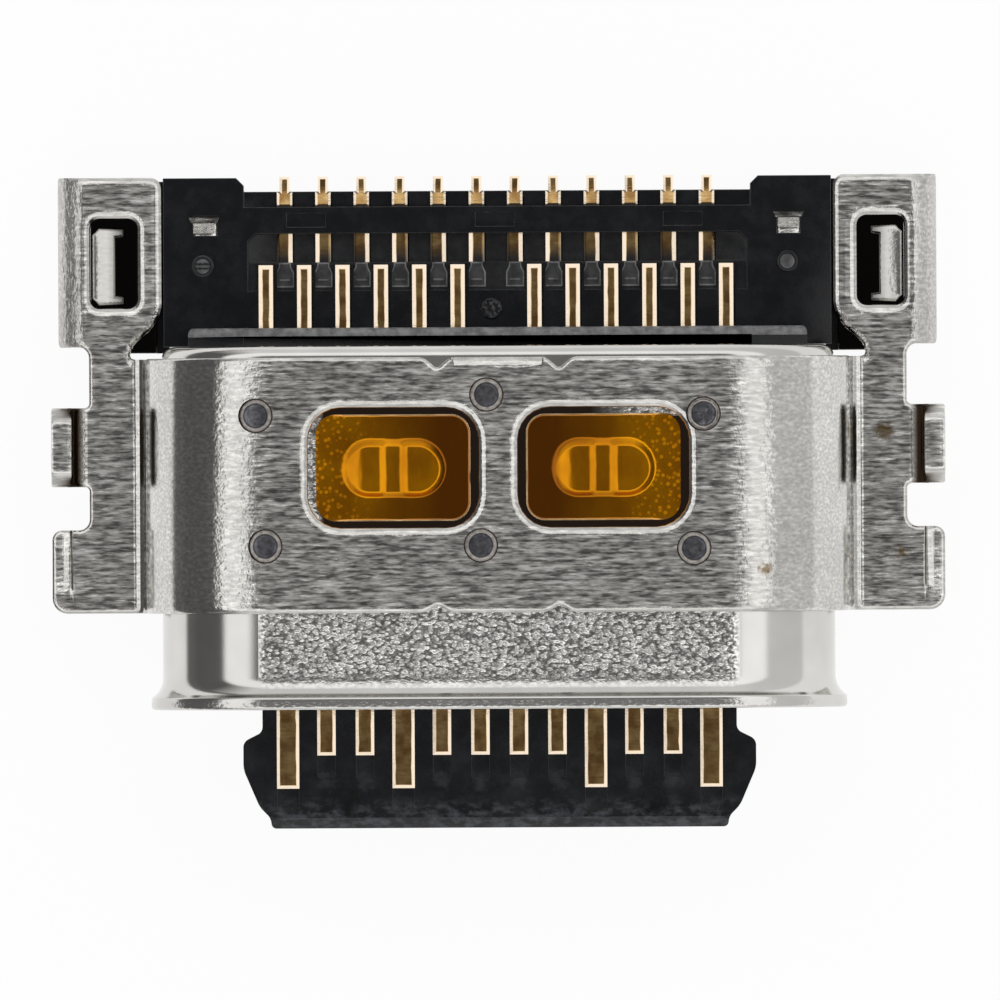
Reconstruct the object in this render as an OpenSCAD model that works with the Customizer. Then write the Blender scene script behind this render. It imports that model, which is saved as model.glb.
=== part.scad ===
// Board-mounted reversible charging receptacle with a hat bracket and film-sealed shell.
// Millimetres. The plug enters along +Y at the origin, the board lies on the wings on the +Z side.

/* [Contacts] */
// Spacing of the contacts along a row
contact_pitch = 0.5; // [0.45:0.01:0.6]
// Thickness of the contact strip
contact_t = 0.12; // [0.08:0.01:0.15]
// Width of the four long power and ground contacts
long_contact_w = 0.29; // [0.2:0.01:0.34]
// Width of the eight short signal contacts
short_contact_w = 0.24; // [0.16:0.01:0.3]
// Reach of a long contact past the flange face
long_contact_out = 1.03; // [0.7:0.01:1.2]
// Reach of a short contact past the flange face
short_contact_out = 0.6; // [0.3:0.01:0.7]
// Height of a contact face above the tongue face
contact_proud = 0.01; // [0.005:0.005:0.03]
// Width of a lead behind the tongue
lead_w = 0.2; // [0.14:0.01:0.22]
// Space under the lower row's leads, down to the shell
lead_floor = 0.06; // [0.04:0.01:0.12]
// Height of the board face above the lower row's leads
lead_rise = 0.15; // [0.12:0.01:0.25]
// Length of the front row of solder tails
front_tail_len = 0.82; // [0.6:0.01:0.95]
// Width of a rear tail where it is clear of the plastic
rear_tip_w = 0.13; // [0.08:0.01:0.18]
// Reach of a rear tail past the plastic
rear_tail_out = 0.19; // [0.1:0.01:0.3]

/* [Tongue] */
// Length of the open groove ahead of each contact
groove_out = 0.3; // [0.2:0.01:0.34]
// Depth of that groove
contact_groove_d = 0.05; // [0.03:0.01:0.1]
// Thickness of the tongue
tongue_t = 0.7; // [0.6:0.01:0.8]
// Reach of the tongue past the flange face
tongue_out = 1.55; // [1.4:0.01:1.8]
// Plastic beside the outermost contact's middle
tongue_edge = 0.58; // [0.5:0.01:0.7]
// Cut of the neck below the shoulder, each side
neck_cut = 0.25; // [0.15:0.01:0.3]
// Distance of the shoulder from the flange face
shoulder_set = 0.42; // [0.3:0.01:0.5]
// Length of the shoulder
shoulder_len = 0.36; // [0.25:0.01:0.45]
// Taper of each side from the shoulder to the step
taper_cut = 0.21; // [0.1:0.01:0.25]
// Step of each side at the tip
tip_cut = 0.15; // [0.05:0.01:0.2]
// Length of the tip past the step
tip_len = 0.13; // [0.08:0.01:0.2]
// Bevel of the tip's edges
tip_bevel = 0.13; // [0.05:0.01:0.2]
// Length of the thick root of the tongue
root_len = 1.15; // [0.8:0.01:1.4]
// Height of the root above the tongue face
root_rise = 0.37; // [0.25:0.01:0.45]
// Widening of the root past the tongue, each side
root_edge = 0.12; // [0.05:0.01:0.3]
// Thickness of the wall that closes the mouth
back_wall_t = 0.4; // [0.3:0.01:0.6]
// Radius of the ejector marks on the tongue
tongue_mark_r = 0.17; // [0.1:0.01:0.2]

/* [Plug mouth and shell] */
// Space beside the tongue in the mouth
mouth_gap_x = 0.84; // [0.7:0.01:1]
// Space above and below the tongue in the mouth
mouth_gap_z = 0.93; // [0.85:0.01:1.1]
// Depth of the mouth from the flange face
mouth_depth = 2.9; // [2.7:0.05:3.5]
// Wall of the shell
shell_wall = 0.2; // [0.15:0.01:0.25]
// Reach of the flange past the shell
flange_out = 0.15; // [0.1:0.01:0.3]
// Thickness of the flange
flange_t = 0.18; // [0.12:0.01:0.25]
// Fillet between flange and shell
flange_fillet = 0.12; // [0.05:0.01:0.2]
// Rounding of the shell's rear edge
shell_edge_r = 0.15; // [0.08:0.01:0.15]
// Length of the contact carriers behind the mouth
wafer_len = 1.41; // [1.35:0.01:1.8]
// Length of a dimple pressed into the shell, across the shell
dimple_w = 1.4; // [1:0.01:1.6]
// Width of a dimple
dimple_l = 0.77; // [0.5:0.01:0.9]
// Depth of a dimple
dimple_d = 0.12; // [0.06:0.01:0.14]
// Wall round a dimple inside the shell
dimple_wall = 0.18; // [0.12:0.01:0.22]

/* [Film] */
// Width of a film patch
film_w = 2; // [1.8:0.01:2.1]
// Length of a film patch
film_l = 1.38; // [1.2:0.01:1.5]
// Corner radius of a film patch
film_r = 0.25; // [0.1:0.01:0.4]
// Thickness of the film
film_t = 0.05; // [0.03:0.005:0.06]

/* [Bracket] */
// Thickness of the bracket sheet
sheet_t = 0.2; // [0.15:0.01:0.25]
// Distance of the bracket's front edge from the flange face
bracket_set = 1.25; // [1:0.01:1.5]
// Length of shell that shows behind the hat
shell_back = 0.2; // [0.18:0.01:0.3]
// Width of a window in the hat
window_w = 2.21; // [2.15:0.01:2.4]
// Length of a window in the hat
window_l = 1.55; // [1.52:0.01:1.8]
// Corner radius of a window
window_r = 0.42; // [0.2:0.01:0.6]
// Distance of a window's middle from the hat's middle line
window_x = 1.36; // [1.25:0.01:1.5]
// Distance of a window's middle from the hat's rear edge
window_set = 1.38; // [1.2:0.01:1.6]
// Width of an edge notch
notch_w = 0.35; // [0.2:0.01:0.45]
// Depth of an edge notch
notch_d = 0.1; // [0.05:0.01:0.15]
// Distance of the edge notches from the middle line
notch_x = 0.79; // [0.6:0.01:1]
// Radius of a weld spot
weld_r = 0.165; // [0.1:0.005:0.2]
// Depth of a weld spot
weld_d = 0.02; // [0.01:0.005:0.04]
// Inside radius of the fold from hat to wing
fold_r = 0.15; // [0.1:0.01:0.25]
// Width of the wing from the hat to its outer edge
wing_w = 0.8; // [0.76:0.01:1]

/* [Wing tabs and legs] */
// Gap in Y between the hat's rear edge and the rear tab
tab_set = 0.21; // [0.1:0.01:0.3]
// Length of the rear tab
tab_len = 2.17; // [2.1:0.01:2.4]
// How far the rear tab reaches in past the hat's side
tab_in_set = 0.21; // [0.1:0.01:0.3]
// Run of the slanted edge between the hat and the rear tab
tab_slant = 0.35; // [0.2:0.01:0.5]
// Inside radius of the rear tab's outer bend
tab_bend_r = 0.15; // [0.08:0.01:0.2]
// Straight skirt below the rear tab's bend
tab_skirt = 0.18; // [0.05:0.01:0.2]
// Width of a wing slot
slot_w = 0.61; // [0.55:0.01:0.65]
// Length of a wing slot
slot_l = 1.16; // [1:0.01:1.3]
// Corner radius of a wing slot
slot_r = 0.12; // [0.05:0.01:0.2]
// Distance of a slot's middle from the hat's side
slot_out = 0.42; // [0.4:0.01:0.46]
// Distance of a slot's middle from the hat's rear edge
slot_set = 1.3; // [1.2:0.01:1.4]
// Distance of the side leg's rear edge from the hat's rear edge
leg_set = 0.58; // [0.45:0.01:0.7]
// Width of the side leg
leg_w = 1.03; // [0.8:0.01:1.1]
// Inside radius of the side leg's bend
leg_bend_r = 0.24; // [0.15:0.01:0.3]
// Height of the side leg's tip above the wing
leg_h = 0.5; // [0.45:0.01:1]
// Chamfer of the side leg's tip corners
leg_chamfer = 0.18; // [0.05:0.01:0.2]
// Length of the front tab
toe_len = 1.09; // [0.8:0.01:1.2]
// Reach of the front tab past the wing's edge
toe_out = 0.44; // [0.3:0.01:0.5]
// Corner radius of the front tab
toe_r = 0.2; // [0.1:0.01:0.3]
// Depth of the crease along the front tab
crease_d = 0.04; // [0.02:0.005:0.08]
// Distance of the crease from the front tab's outer edge
crease_in = 0.23; // [0.15:0.01:0.3]

/* [Lower cover] */
// Thickness of the cover sheet
cover_t = 0.2; // [0.15:0.01:0.25]
// How far the cover's front edge lies behind the bracket's
cover_set = 0.1; // [0.05:0.01:0.3]
// How far the cover's floor stops short of the rear plastic edge
cover_back = 0.24; // [0.1:0.01:0.4]
// Gap between a slot and the leg that stands in it
slot_gap = 0.03; // [0.02:0.005:0.05]
// Free space behind that leg in the slot
slot_back_gap = 0.11; // [0.05:0.01:0.2]
// Reach of the leg's two flanges across the slot
c_leg_reach = 0.41; // [0.3:0.01:0.5]
// Width of the leg's two flanges
c_flange_w = 0.15; // [0.1:0.01:0.2]
// Chamfer of the leg's outer corners
c_leg_chamfer = 0.12; // [0.1:0.01:0.2]
// How far the leg's tip stays under the board face
c_leg_set = 0.03; // [0.01:0.01:0.1]

/* [Rear housing] */
// Plastic wall behind the shell
wall_t = 0.25; // [0.2:0.01:0.35]
// Height of that wall above the deck
wall_rise = 0.42; // [0.2:0.01:0.6]
// Width of the groove between that wall and the shell
groove_w = 0.13; // [0.08:0.01:0.15]
// Depth of that groove
groove_d = 0.15; // [0.08:0.01:0.18]
// Plastic beside the outermost front tail's middle
slab_edge = 0.3; // [0.25:0.01:0.4]
// How far the deck lies under the board face
deck_set = 0.02; // [0.01:0.005:0.04]
// Length of deck between the wall and the lead window
finger_root = 0.48; // [0.4:0.01:0.55]
// Length of the lead window
lead_window_len = 0.75; // [0.7:0.01:0.9]
// Width of the finger under each front tail
finger_w = 0.26; // [0.22:0.01:0.29]
// Length of the bar behind the lead window
bar_len = 0.35; // [0.3:0.01:0.45]
// Length of the ledge that carries the rear tails
ledge_len = 0.2; // [0.18:0.01:0.3]
// How far the corner blocks reach behind the ledge
block_out = 0.18; // [0.1:0.01:0.25]
// Gap between a corner block and the rear tab
block_gap = 0.07; // [0.04:0.01:0.12]
// Chamfer of the blocks and of the lead window's ends
block_chamfer = 0.1; // [0.05:0.01:0.15]
// Radius of the ejector marks on the blocks
block_mark_r = 0.14; // [0.08:0.01:0.18]
// Radius of the gate mark on the deck
gate_r = 0.28; // [0.15:0.01:0.3]
// Depth of the marks in the plastic
mark_d = 0.02; // [0.01:0.005:0.03]

/* [Plates inside] */
// Thickness of the plate between the contact rows
mid_t = 0.13; // [0.1:0.01:0.2]
// Plastic between that plate's edge and the neck of the tongue
mid_edge = 0.13; // [0.1:0.01:0.3]
// Plastic between that plate's front edge and the tip of the tongue
mid_tip = 0.35; // [0.25:0.01:0.5]
// Width of that plate's drop legs
drop_w = 0.2; // [0.12:0.01:0.22]
// Width of that plate's legs in the corner blocks
mid_leg_w = 0.3; // [0.2:0.01:0.35]
// Plastic over those legs
mid_leg_cover = 0.05; // [0.03:0.01:0.06]
// Length of the pocket that shows each leg's end
pocket_l = 0.25; // [0.2:0.01:0.3]
// Gap between the leg's end and the pocket's rear wall
pocket_gap = 0.06; // [0.03:0.01:0.1]
// Distance of the pocket from the block's rear face
pocket_set = 0.5; // [0.4:0.01:0.6]
// Thickness of the ground plates on the root
ground_t = 0.1; // [0.06:0.01:0.12]
// Plastic left beside and before a ground plate
ground_edge = 0.12; // [0.05:0.01:0.2]
// How far a ground plate reaches into the back wall
ground_bite = 0.2; // [0.1:0.01:0.25]

/* [Fits] */
// Assembly gap between the shell and what surrounds or fills it
fit_gap = 0.01; // [0.005:0.005:0.02]

/* [Hidden] */
$fn = 64;
// How far a cutter reaches past what it cuts
over = 1;
row_count = 12;
// Positions in the row, from 0, that hold a long contact
long_contacts = [0, 3, 8, 11];
// Heights
tongue_z = tongue_t / 2;
row_z1 = tongue_z + contact_proud;
row_z0 = row_z1 - contact_t;
mouth_r = tongue_z + mouth_gap_z;
shell_r = mouth_r + shell_wall;
cap_r = shell_r + fit_gap;
hat_r = cap_r + sheet_t;
cover_r = cap_r + cover_t;
plug_fit_r = mouth_r - fit_gap;
lead_z0 = lead_floor - mouth_r;
lead_z1 = lead_z0 + contact_t;
board_z = lead_z1 + lead_rise;
tail_z0 = board_z - contact_t;
deck_z = board_z - deck_set;
lead_floor_z = (lead_z0 + lead_z1) / 2;
shelf_z = (lead_z1 + deck_z) / 2;
slab_z0 = -shell_r;
wall_z1 = deck_z + wall_rise;
cover_wing_z1 = board_z - sheet_t - fit_gap;
cover_wing_z0 = cover_wing_z1 - cover_t;
root_z = tongue_z + root_rise;
mid_leg_z1 = deck_z - mid_leg_cover;
mid_leg_z0 = mid_leg_z1 - mid_t;
// Distances along the plug axis
wafer_y0 = mouth_depth + back_wall_t;
shell_y1 = wafer_y0 + wafer_len;
hat_y0 = bracket_set;
hat_y1 = shell_y1 - shell_back;
wall_y0 = shell_y1 + fit_gap;
wall_y1 = shell_y1 + wall_t;
front_tail_y1 = wall_y1 + front_tail_len;
lead_window_y0 = wall_y1 + finger_root;
lead_window_y1 = lead_window_y0 + lead_window_len;
finger_y1 = (lead_window_y0 + lead_window_y1) / 2;
bar_y1 = lead_window_y1 + bar_len;
slab_y1 = bar_y1 + ledge_len;
block_y1 = slab_y1 + block_out;
rear_tail_y1 = slab_y1 + rear_tail_out;
tab_y0 = hat_y1 + tab_set;
tab_y1 = tab_y0 + tab_len;
leg_y1 = hat_y1 - leg_set;
leg_y0 = leg_y1 - leg_w;
toe_y1 = hat_y0 + toe_len;
window_y = hat_y1 - window_set;
slot_y = hat_y1 + slot_set;
a_drop_y1 = shell_y1 - contact_t - fit_gap;
a_drop_y0 = a_drop_y1 - contact_t;
lead_y0 = wafer_y0 - contact_t;
jog_y0 = wafer_y0 + contact_t;
jog_y1 = jog_y0 + contact_pitch / 2 + contact_t;
b_drop_y0 = wafer_y0 + 2 * contact_t;
b_drop_y1 = b_drop_y0 + contact_t;
mid_y0 = mid_tip - tongue_out;
mid_y1 = a_drop_y0 - contact_t;
pocket_y1 = block_y1 - pocket_set;
pocket_y0 = pocket_y1 - pocket_l;
mid_leg_y1 = pocket_y1 - pocket_gap;
// Distances across
row_half = (row_count - 1) / 2 * contact_pitch;
tongue_half = row_half + tongue_edge;
neck_half = tongue_half - neck_cut;
root_half = tongue_half + root_edge;
spine = tongue_half + mouth_gap_x - mouth_r;
hat_half = spine + hat_r;
side_half = spine + cap_r;
wing_root = hat_half + fold_r;
wing_edge = hat_half + wing_w;
slot_x = hat_half + slot_out;
tab_in = hat_half - tab_in_set;
slab_half = row_count / 2 * contact_pitch + slab_edge;
lead_window_half = slab_half - lead_w / 4;
block_half = tab_in - block_gap;
block_mid = (slab_half + block_half) / 2;
mid_half = neck_half - mid_edge;
drop_x0 = slab_half - lead_w / 2;
c_leg_x1 = slot_x + slot_w / 2 - slot_gap;
c_leg_x0 = c_leg_x1 - cover_t;
c_leg_y0 = slot_y - slot_l / 2 + slot_gap;
c_leg_y1 = slot_y + slot_l / 2 - slot_back_gap;
arm_in = tab_in + block_gap;
arm_out = slot_x + slot_w / 2;
// Weld spots on the hat: distance across and distance ahead of its rear edge
welds = [[-3.14, 0.7], [-0.15, 0.44], [2.66, 0.7], [-3.02, 2.39], [-0.23, 2.39], [2.53, 2.44]];
// Where the bar has shallow moulding recesses
bar_recesses = [-2.49, -0.03, 2.42];

function contact_x(i) = i * contact_pitch - row_half;
function front_tail_x(i) = contact_x(i) + sign(contact_x(i)) * contact_pitch / 2;
function is_long(i) = len([for (k = long_contacts) if (k == i) k]) > 0;
function contact_w(i) = is_long(i) ? long_contact_w : short_contact_w;
function contact_out(i) = is_long(i) ? long_contact_out : short_contact_out;

// Draws a section of the XZ plane out along the plug axis
module along_y(y0, y1) {
  translate([0, y1, 0]) rotate([90, 0, 0]) linear_extrude(y1 - y0) children();
}

// Draws a section of the YZ plane out across the part
module along_x(x0, x1) {
  translate([x0, 0, 0]) rotate([90, 0, 90]) linear_extrude(x1 - x0) children();
}

// Draws a plan out upwards
module along_z(z0, z1) {
  translate([0, 0, z0]) linear_extrude(z1 - z0) children();
}

module block(x0, x1, y0, y1, z0, z1) {
  translate([x0, y0, z0]) cube([x1 - x0, y1 - y0, z1 - z0]);
}

module both_sides() {
  children();
  mirror([1, 0, 0]) children();
}

module stadium(r) {
  square([2 * spine, 2 * r], center = true);
  for (side = [-1, 1]) translate([side * spine, 0]) circle(r);
}

module rounded(w, l, r) {
  square([w - 2 * r, l], center = true);
  square([w, l - 2 * r], center = true);
  for (x = [-1, 1], y = [-1, 1]) translate([x * (w / 2 - r), y * (l / 2 - r)]) circle(r);
}

module quarter_ring(r, t, side_x, side_y) {
  size = r + t;
  intersection() {
    difference() {
      circle(size);
      circle(r);
    }
    translate([min(0, side_x * size), min(0, side_y * size)]) square(size);
  }
}

// Sweeps a section, drawn as radius and distance along the axis, round the stadium
module stadium_sweep() {
  rotate([-90, 0, 0]) {
    for (side = [-1, 1])
      translate([side * spine, 0, 0]) rotate([0, 0, -90 * side]) rotate_extrude(angle = 180) children();
    for (side = [0, 1])
      mirror([0, side, 0]) translate([-spine, 0, 0]) rotate([90, 0, 90]) linear_extrude(2 * spine) children();
  }
}

// Space of both dimples up to a height: a pill in plan with a hollow floor, wider and deeper by grow
module dimples(grow, top) {
  floor_r = pow(dimple_w / 2, 2) / (2 * dimple_d) + dimple_d / 2;
  pill_x = (dimple_w - dimple_l) / 2;
  for (side = [-1, 1]) translate([side * window_x, window_y, 0]) intersection() {
    along_z(0, top) {
      square([2 * pill_x, dimple_l + 2 * grow], center = true);
      for (end = [-1, 1]) translate([end * pill_x, 0]) circle(dimple_l / 2 + grow);
    }
    translate([0, 0, shell_r - dimple_d + floor_r]) rotate([90, 0, 0])
      cylinder(r = floor_r + grow, h = dimple_l + 2 * over, center = true);
  }
}

module inner_shell() {
  color("silver") difference() {
    union() {
      stadium_sweep() {
        difference() {
          translate([mouth_r, 0]) square([shell_wall, shell_y1]);
          translate([shell_r - shell_edge_r, shell_y1 - shell_edge_r]) difference() {
            square(shell_edge_r + over);
            circle(shell_edge_r);
          }
        }
        translate([shell_r, 0]) square([flange_out, flange_t]);
        translate([shell_r, flange_t]) difference() {
          square(flange_fillet);
          translate([flange_fillet, flange_fillet]) circle(flange_fillet);
        }
      }
      dimples(dimple_wall, shell_r - shell_wall / 2);
    }
    dimples(0, shell_r + over);
  }
}

module film(side) {
  color("darkorange") difference() {
    union() {
      translate([side * window_x, window_y, 0]) along_z(shell_r, shell_r + film_t)
        rounded(film_w, film_l, film_r);
      intersection() {
        dimples(0, shell_r);
        mirror([side < 0 ? 1 : 0, 0, 0]) block(0, hat_half, hat_y0, hat_y1, 0, hat_r);
      }
    }
    dimples(-film_t, shell_r + over);
  }
}

// Section of the hat down to the root of its wings
module hat_section() {
  difference() {
    intersection() {
      stadium(hat_r);
      translate([-hat_half, 0]) square([2 * hat_half, hat_r]);
    }
    stadium(cap_r);
  }
  for (side = [-1, 1]) {
    x0 = min(side * side_half, side * hat_half);
    translate([x0, board_z + fold_r]) square([sheet_t, -board_z - fold_r]);
    translate([side * wing_root, board_z + fold_r]) quarter_ring(fold_r, sheet_t, -side, -1);
  }
}

// Plan of the right wing, with its rear tab and front tab
module wing_plan() {
  difference() {
    polygon([
      [wing_root, hat_y0],
      [wing_edge + toe_out, hat_y0],
      [wing_edge + toe_out, toe_y1],
      [wing_edge, toe_y1],
      [wing_edge, tab_y1],
      [tab_in, tab_y1],
      [tab_in, tab_y0 + tab_slant],
      [wing_root, tab_y0],
      [wing_root, hat_y1]
    ]);
    translate([wing_edge + toe_out - toe_r, hat_y0 + toe_r]) rotate(-90) difference() {
      square(toe_r + over);
      circle(toe_r);
    }
    translate([slot_x, slot_y]) rounded(slot_w, slot_l, slot_r);
  }
}

// Section of the rear tab's edge, folded down
module tab_fold() {
  translate([wing_edge, board_z - sheet_t - tab_bend_r]) {
    quarter_ring(tab_bend_r, sheet_t, 1, 1);
    translate([tab_bend_r, -tab_skirt]) square([sheet_t, tab_skirt]);
  }
}

// Section of the side leg, folded up
module leg_fold() {
  translate([wing_edge, board_z + leg_bend_r]) quarter_ring(leg_bend_r, sheet_t, 1, -1);
  translate([wing_edge + leg_bend_r, board_z + leg_bend_r]) square([sheet_t, leg_h - leg_bend_r]);
}

module leg_tip_cut() {
  tip_z = board_z + leg_h;
  along_x(wing_edge, wing_edge + leg_bend_r + sheet_t + over) for (end = [-1, 1])
    translate([(leg_y0 + leg_y1) / 2 + end * leg_w / 2, tip_z]) rotate(45)
      square(leg_chamfer * sqrt(2), center = true);
}

module crease() {
  translate([wing_edge + toe_out - crease_in, 0, board_z]) along_y(hat_y0 + toe_r, toe_y1 + over)
    rotate(45) square(crease_d * sqrt(2), center = true);
}

module outer_bracket() {
  color("lightgray") difference() {
    union() {
      along_y(hat_y0, hat_y1) hat_section();
      both_sides() {
        along_z(board_z - sheet_t, board_z) wing_plan();
        along_y(tab_y0, tab_y1) tab_fold();
        difference() {
          along_y(leg_y0, leg_y1) leg_fold();
          leg_tip_cut();
        }
      }
    }
    both_sides() {
      translate([window_x, window_y, 0]) along_z(shell_r, hat_r + over) rounded(window_w, window_l, window_r);
      crease();
      for (y = [hat_y0, hat_y1]) translate([notch_x, y, shell_r]) linear_extrude(sheet_t + over)
        polygon([[-notch_w / 2, 0], [0, -notch_d], [notch_w / 2, 0], [0, notch_d]]);
    }
    for (w = welds) translate([w[0], hat_y1 - w[1], hat_r - weld_d]) cylinder(r = weld_r, h = over);
  }
}

// Section of the saddle under the shell, flared into the cover's wings
module saddle_section() {
  difference() {
    intersection() {
      stadium(cover_r);
      translate([-hat_half, -cover_r]) square([2 * hat_half, cover_r + cover_wing_z1]);
    }
    stadium(cap_r);
  }
  flare_x = spine + sqrt(cap_r * cap_r - cover_wing_z1 * cover_wing_z1) + cover_t / 4;
  for (side = [0, 1]) mirror([side, 0]) translate([flare_x, cover_wing_z0])
    square([arm_out - flare_x, cover_t]);
}

// Leg that stands in the wing slot, with a flange turned in at each end
module c_leg() {
  tip_z = board_z - c_leg_set;
  flange_x0 = c_leg_x1 - c_leg_reach;
  along_z(cover_wing_z0, tip_z) polygon([
    [flange_x0, c_leg_y0], [c_leg_x1 - c_leg_chamfer, c_leg_y0], [c_leg_x1, c_leg_y0 + c_leg_chamfer],
    [c_leg_x1, c_leg_y1 - c_leg_chamfer], [c_leg_x1 - c_leg_chamfer, c_leg_y1], [flange_x0, c_leg_y1],
    [flange_x0, c_leg_y1 - c_flange_w], [c_leg_x0, c_leg_y1 - c_flange_w],
    [c_leg_x0, c_leg_y0 + c_flange_w], [flange_x0, c_leg_y0 + c_flange_w]
  ]);
}

module lower_cover() {
  arm_y1 = slot_y + slot_l / 2 + cover_t;
  color("darkgray") {
    along_y(hat_y0 + cover_set, hat_y1) saddle_section();
    block(-spine, spine, hat_y1, slab_y1 - cover_back, -cover_r, -cap_r);
    both_sides() {
      block(arm_in, arm_out, hat_y1, arm_y1, cover_wing_z0, cover_wing_z1);
      c_leg();
    }
  }
}

// Strip on the tongue, at the height of the upper row
module blade(i) {
  w = contact_w(i);
  block(contact_x(i) - w / 2, contact_x(i) + w / 2, -contact_out(i), wafer_y0, row_z0, row_z1);
}

// Upper row: along the tongue, a step aside, down behind the mouth and out as a front tail
module contact_a(i) {
  x0 = contact_x(i);
  x1 = front_tail_x(i);
  h = lead_w / 2;
  color("gold") {
    blade(i);
    along_z(row_z0, row_z1) polygon([
      [x0 - h, lead_y0], [x0 + h, lead_y0], [x0 + h, jog_y0], [x1 + h, jog_y1],
      [x1 + h, a_drop_y1], [x1 - h, a_drop_y1], [x1 - h, jog_y1], [x0 - h, jog_y0]
    ]);
    block(x1 - h, x1 + h, a_drop_y0, a_drop_y1, tail_z0, row_z1);
    block(x1 - h, x1 + h, a_drop_y0, front_tail_y1, tail_z0, board_z);
  }
}

// Lower row: along the tongue's other face, down, back under the front tails, and up as a rear tail
module contact_b(i) {
  x = contact_x(i);
  h = lead_w / 2;
  tip = rear_tip_w / 2;
  color("gold") {
    mirror([0, 0, 1]) blade(i);
    block(x - h, x + h, lead_y0, b_drop_y1, -row_z1, -row_z0);
    block(x - h, x + h, b_drop_y0, b_drop_y1, lead_z0, -row_z0);
    block(x - h, x + h, b_drop_y0, bar_y1 + contact_t, lead_z0, lead_z1);
    block(x - h, x + h, bar_y1, bar_y1 + contact_t, lead_z0, board_z);
    block(x - h, x + h, bar_y1, slab_y1, tail_z0, board_z);
    block(x - tip, x + tip, bar_y1, rear_tail_y1, tail_z0, board_z);
  }
}

module all_contacts() {
  for (i = [0:row_count - 1]) {
    contact_a(i);
    contact_b(i);
  }
}

// Leg of the middle plate: down beside the tails, then out into a corner block
module mid_leg() {
  drop_x1 = drop_x0 + drop_w;
  leg_x0 = block_mid - mid_leg_w / 2;
  leg_x1 = block_mid + mid_leg_w / 2;
  block(0, drop_x1, jog_y1, mid_y1, -mid_t / 2, mid_t / 2);
  block(drop_x0, drop_x1, jog_y1, a_drop_y1, -mid_t / 2, mid_t / 2);
  block(drop_x0, drop_x1, a_drop_y1 - mid_t, a_drop_y1, mid_leg_z0, mid_t / 2);
  along_z(mid_leg_z0, mid_leg_z1) polygon([
    [drop_x0, a_drop_y1 - mid_t], [drop_x1, a_drop_y1 - mid_t], [drop_x1, wall_y1],
    [leg_x1, lead_window_y0], [leg_x1, mid_leg_y1], [leg_x0, mid_leg_y1],
    [leg_x0, lead_window_y0 + drop_w], [drop_x0, wall_y1 + drop_w]
  ]);
}

module mid_plate() {
  color("slategray") {
    block(-mid_half, mid_half, mid_y0, mid_y1, -mid_t / 2, mid_t / 2);
    both_sides() mid_leg();
  }
}

module ground_plate(side) {
  half = root_half - ground_edge;
  y0 = mouth_depth - root_len + ground_edge;
  color("dimgray") mirror([0, 0, side])
    block(-half, half, y0, mouth_depth + ground_bite, root_z, root_z + ground_t);
}

// Plan of the right half of the blade, neck at the flange and tip in front
module blade_plan() {
  shoulder_y = -shoulder_set;
  step_y = tip_len - tongue_out;
  taper_half = tongue_half - taper_cut;
  polygon([
    [0, wafer_y0], [neck_half, wafer_y0], [neck_half, shoulder_y + neck_cut / 2],
    [tongue_half, shoulder_y], [tongue_half, shoulder_y - shoulder_len],
    [taper_half, step_y + tip_cut], [taper_half - tip_cut, step_y],
    [taper_half - tip_cut, -tongue_out], [0, -tongue_out]
  ]);
}

// Open groove ahead of a contact's tip
module contact_groove(i) {
  w = contact_w(i);
  y1 = -contact_out(i);
  translate([contact_x(i), 0, 0])
    block(-w / 2, w / 2, y1 - groove_out, y1, tongue_z - contact_groove_d, tongue_z + over);
}

module tongue() {
  mark_y = -(tongue_out + long_contact_out) / 2 + tongue_mark_r / 2;
  color("black") difference() {
    union() {
      intersection() {
        both_sides() along_z(-tongue_z, tongue_z) blade_plan();
        along_x(-tongue_half - over, tongue_half + over) polygon([
          [-tongue_out, -tongue_z + tip_bevel], [-tongue_out + tip_bevel, -tongue_z],
          [wafer_y0, -tongue_z], [wafer_y0, tongue_z],
          [-tongue_out + tip_bevel, tongue_z], [-tongue_out, tongue_z - tip_bevel]
        ]);
      }
      block(-root_half, root_half, mouth_depth - root_len, wafer_y0, -root_z, root_z);
      along_y(mouth_depth, wafer_y0) stadium(plug_fit_r);
    }
    dimples(dimple_wall + fit_gap, shell_r);
    all_contacts();
    mid_plate();
    for (side = [0, 1]) {
      ground_plate(side);
      for (i = [0:row_count - 1]) mirror([0, 0, side]) contact_groove(i);
    }
    for (side = [-1, 1]) translate([side * contact_pitch * 4, mark_y, tongue_z - mark_d])
      cylinder(r = tongue_mark_r, h = over);
  }
}

module upper_wafer() {
  color("black") difference() {
    intersection() {
      along_y(wafer_y0, shell_y1) stadium(plug_fit_r);
      block(-hat_half, hat_half, wafer_y0, shell_y1, 0, hat_r);
    }
    dimples(dimple_wall + fit_gap, shell_r);
    all_contacts();
    mid_plate();
  }
}

// Plan of the deck behind the wall, with its corner blocks
module deck_plan() {
  half = slab_half;
  translate([-half, wall_y0]) square([2 * half, slab_y1 - wall_y0]);
  for (side = [0, 1]) mirror([side, 0]) polygon([
    [0, wall_y0], [block_half, wall_y0], [block_half, block_y1],
    [half + block_chamfer, block_y1], [half, block_y1 - block_chamfer], [half, slab_y1], [0, slab_y1]
  ]);
}

// Plan of the lead window, with chamfered corners
module lead_window_plan() {
  half = lead_window_half;
  translate([0, lead_window_y0]) polygon([
    [-half, 0], [half, 0], [half, lead_window_len - block_chamfer],
    [half - block_chamfer, lead_window_len], [block_chamfer - half, lead_window_len],
    [-half, lead_window_len - block_chamfer]
  ]);
}

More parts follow.
